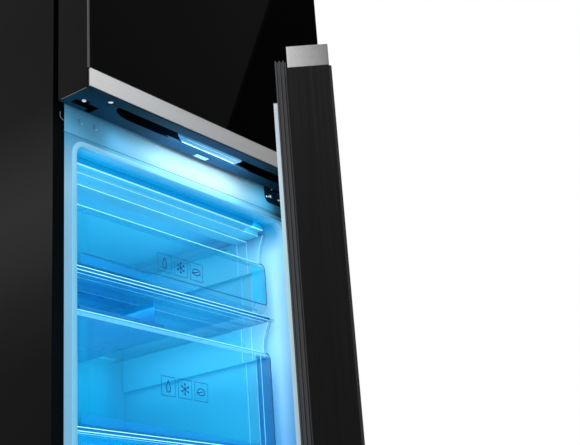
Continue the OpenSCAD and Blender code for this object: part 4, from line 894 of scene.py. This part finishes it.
x, z0, z1 = IN_W + LINE_OUT - LINE_R, FREEZER_FLOOR - LINE_OUT + LINE_R, FREEZER_TOP + LINE_OUT - LINE_R
path = [p for cx, cz, start in ((x, z1, 90), (x, z0, 0), (-x, z0, -90), (-x, z1, 180))
        for p in arc(cx, cz, LINE_R, start, -90, 8)]
bm = bmesh.new()
strip(bm, path, 1.6, lambda x, z: on_face(x, z, 1.6), True)
piece("lip_highlight", bm, "lip_highlight_line", "cabinet")

# The hole plugs' lit and shaded edges, as a painted highlight and a painted shade, and the lines of the lamp
# lens
for name, key, start, turn, r, wide in (("plug_light_edges", "plug_light", -95, 95, 3.4, 2.4),
                                        ("plug_shaded_edges", "plug_shade", 90, 130, 4.0, 1.2)):
    bm = bmesh.new()
    for x in (-HALF_W + 54, -HALF_W + 84):
        strip(bm, arc(x, SPLIT_Z - 12.5, r, start, turn, 10), wide, lambda x, z: on_face(x, z, 0.3))
    piece(name, bm, key, "cabinet")
bm = bmesh.new()
for y in (28, 39):
    rod(bm, P(-60, y, SPLIT_Z + 0.9), P(66, y, SPLIT_Z + 0.9), 0.35)
piece("lens_lines", bm, "window", "upper_door")

# The shaded seam between the crossbar and the freezer liner, and small marks beside the window
bm = bmesh.new()
strip(bm, [(-HALF_W + 20, LINER_SEAM_Z), (HALF_W - 16, LINER_SEAM_Z)], 1.0, lambda x, z: on_face(x, z, 0.12))
piece("crossbar_seam", bm, "seam", "cabinet")
MARKS, MARK_X, MARK_Y, MARK_W, MARK_STEP = 6, -4, 63.5, 2.5, 5


def on_cap(x, y):
    """A point just under the fridge door's cap."""
    return P(x, y, SPLIT_Z - 0.12)


bm = bmesh.new()
for k in range(MARKS):
    x = MARK_X + MARK_STEP * k
    strip(bm, [(x, MARK_Y), (x + MARK_W, MARK_Y)], 1.0, on_cap)
strip(bm, [(-50, 58), (-46, 60)], 0.9, on_cap)
piece("window_marks", bm, "cap_black", "upper_door")

# Stage and camera: the camera was fitted to the photo's visible corners
M["floor"] = plastic("floor_pale", grey(0.82), rough=0.6, spec=0.2, vary=0.01)
bpy.ops.mesh.primitive_plane_add(size=12, location=(0, 0, -0.0005))
floor = bpy.context.object
floor.name = "floor"
floor.data.materials.append(M["floor"])

CAMERA = Vector((-1.316268, -1.235366, 0.010716))
YAW, PITCH, ROLL = math.radians(53.86286), math.radians(19.97706), math.radians(-4.05517)
FOCAL_PX = 1130.677
WIDTH_PX = 580.0
SENSOR = 36

forward = Vector((math.sin(YAW) * math.cos(PITCH), math.cos(YAW) * math.cos(PITCH), math.sin(PITCH)))
right = Vector((math.cos(YAW), -math.sin(YAW), 0))
up = right.cross(forward)
cam_x = math.cos(ROLL) * right + math.sin(ROLL) * up
cam_y = -math.sin(ROLL) * right + math.cos(ROLL) * up
cam_data = bpy.data.cameras.new("camera")
cam_data.sensor_width = SENSOR
cam_data.lens = FOCAL_PX / WIDTH_PX * SENSOR
cam_data.clip_start = 0.01
cam = bpy.data.objects.new("camera", cam_data)
bpy.context.scene.collection.objects.link(cam)
cam.matrix_world = Matrix([(cam_x[i], cam_y[i], -forward[i], CAMERA[i]) for i in range(3)] + [(0, 0, 0, 1)])
bpy.context.scene.camera = cam

# Lamps: two soft white ones, and pale blue ones in the handle recess, at the crossbar and in the freezer
BLUE = (0.68, 0.93, 1.0)
GRIP_BLUE = (0.7, 0.92, 0.98)


def area(name, loc, target, size, power, color=(1, 1, 1), size_y=None, cone=180):
    """An area lamp that no camera or mirror sees, in metres and watts."""
    data = bpy.data.lights.new(name, "AREA")
    data.energy = power
    data.color = color
    data.size = size
    data.spread = math.radians(cone)
    if size_y:
        data.shape = "RECTANGLE"
        data.size_y = size_y
    obj = bpy.data.objects.new(name, data)
    bpy.context.scene.collection.objects.link(obj)
    obj.location = loc
    obj.rotation_euler = (Vector(target) - Vector(loc)).to_track_quat("-Z", "Y").to_euler()
    obj.visible_camera = False
    obj.visible_glossy = False


area("key", (-2.6, -1.2, 2.3), (0, 0, 0.9), 1.6, 45)
area("fill", (1.8, -2.4, 1.6), (0, 0, 0.9), 1.8, 35)
area("grip_lamp", P(10, 36, SPLIT_Z - 1), P(10, 80, SPLIT_Z - 60), 0.2, 0.17, GRIP_BLUE, 0.02)
area("freezer_lamp_left", P(-244, 100, 400), P(240, 150, 400), 0.04, 0.3, BLUE, 0.56)
area("bar_wash", P(40, 34, 738), P(40, FACE_Y, 738), 0.46, 0.045, BLUE, 0.03, 76)
for level, z, low, power, low_power in (("upper", 694, 600, 0.62, 0.12), ("middle", 526, 420, 0.85, 0.34),
                                        ("lower", 290, 190, 0.85, 0.34)):
    area("freezer_lamp_" + level, P(0, 290, z), P(0, 290, z - 100), 0.4, power, BLUE, 0.3)
    area("freezer_uplight_" + level, P(0, 260, low), P(0, 260, low + 100), 0.38, low_power, BLUE, 0.26)
area("corner_lamp", P(190, 94, 690), P(252, 116, 640), 0.06, 0.02, BLUE, 0.06)
area("freezer_lamp_front", P(0, 86, 400), P(0, 300, 400), 0.44, 1.15, BLUE, 0.56)

# Dark cards before the door, seen only in its glass: their shared edge is the slanting line in it. The line
# runs between two points of the glass, in millimetres, and the cards' edge reaches past both
CARD_AWAY = 2.6
CARD_W = Vector((5, 0, 0))
LINE_LOW, LINE_HIGH = (10.9, 805.7), (115.4, 1029.2)
PAST_LOW, PAST_HIGH = 0.55, 4  # in lengths of the line


def card(name, corners, level):
    n = Nodes(name)
    glow = n.new("ShaderNodeEmission")
    n.feed(glow.inputs["Color"], grey(level))
    n.feed(n.tree.nodes["Material Output"].inputs["Surface"], glow.outputs[0])
    bm = bmesh.new()
    bm.faces.new([bm.verts.new(c) for c in corners])
    mesh = bpy.data.meshes.new(name)
    bm.to_mesh(mesh)
    bm.free()
    obj = bpy.data.objects.new(name, mesh)
    bpy.context.scene.collection.objects.link(obj)
    mesh.materials.append(n.mat)
    for ray in ("camera", "diffuse", "transmission", "volume_scatter", "shadow"):
        setattr(obj, "visible_" + ray, False)


def mirrored(x, z):
    """Where the camera's ray to a point of the door glass goes on to, on an upright plane before the door."""
    g = P(x, 0, z)
    d = g - CAMERA
    t = CARD_AWAY / d.y
    return Vector((g.x + t * d.x, g.y - CARD_AWAY, g.z + t * d.z))


line_low, line_high = mirrored(*LINE_LOW), mirrored(*LINE_HIGH)
slope = line_high - line_low
low_end, high_end = line_low - slope * PAST_LOW, line_high + slope * PAST_HIGH
card("card_right", (low_end, low_end + CARD_W, high_end + CARD_W, high_end), 0.012)
card("card_left", (low_end, high_end, high_end - CARD_W, low_end - CARD_W), 0.11)

# World: plain light on the object, and white where the camera, a mirror or clear plastic shows it
WORLD_LIGHT = 0.55
world = bpy.data.worlds.new("world")
bpy.context.scene.world = world
world.use_nodes = True
tree = world.node_tree
background = tree.nodes["Background"]
rays = tree.nodes.new("ShaderNodeLightPath")
seen = rays.outputs["Is Camera Ray"]
for ray in ("Is Glossy Ray", "Is Transmission Ray"):
    either = tree.nodes.new("ShaderNodeMath")
    either.operation = "MAXIMUM"
    tree.links.new(seen, either.inputs[0])
    tree.links.new(rays.outputs[ray], either.inputs[1])
    seen = either.outputs[0]
strength = tree.nodes.new("ShaderNodeMapRange")
strength.inputs["To Min"].default_value = WORLD_LIGHT
strength.inputs["To Max"].default_value = 1.0
tree.links.new(seen, strength.inputs["Value"])
tree.links.new(strength.outputs[0], background.inputs["Strength"])
background.inputs["Color"].default_value = (1, 1, 1, 1)

bpy.context.scene.view_settings.view_transform = "Standard"
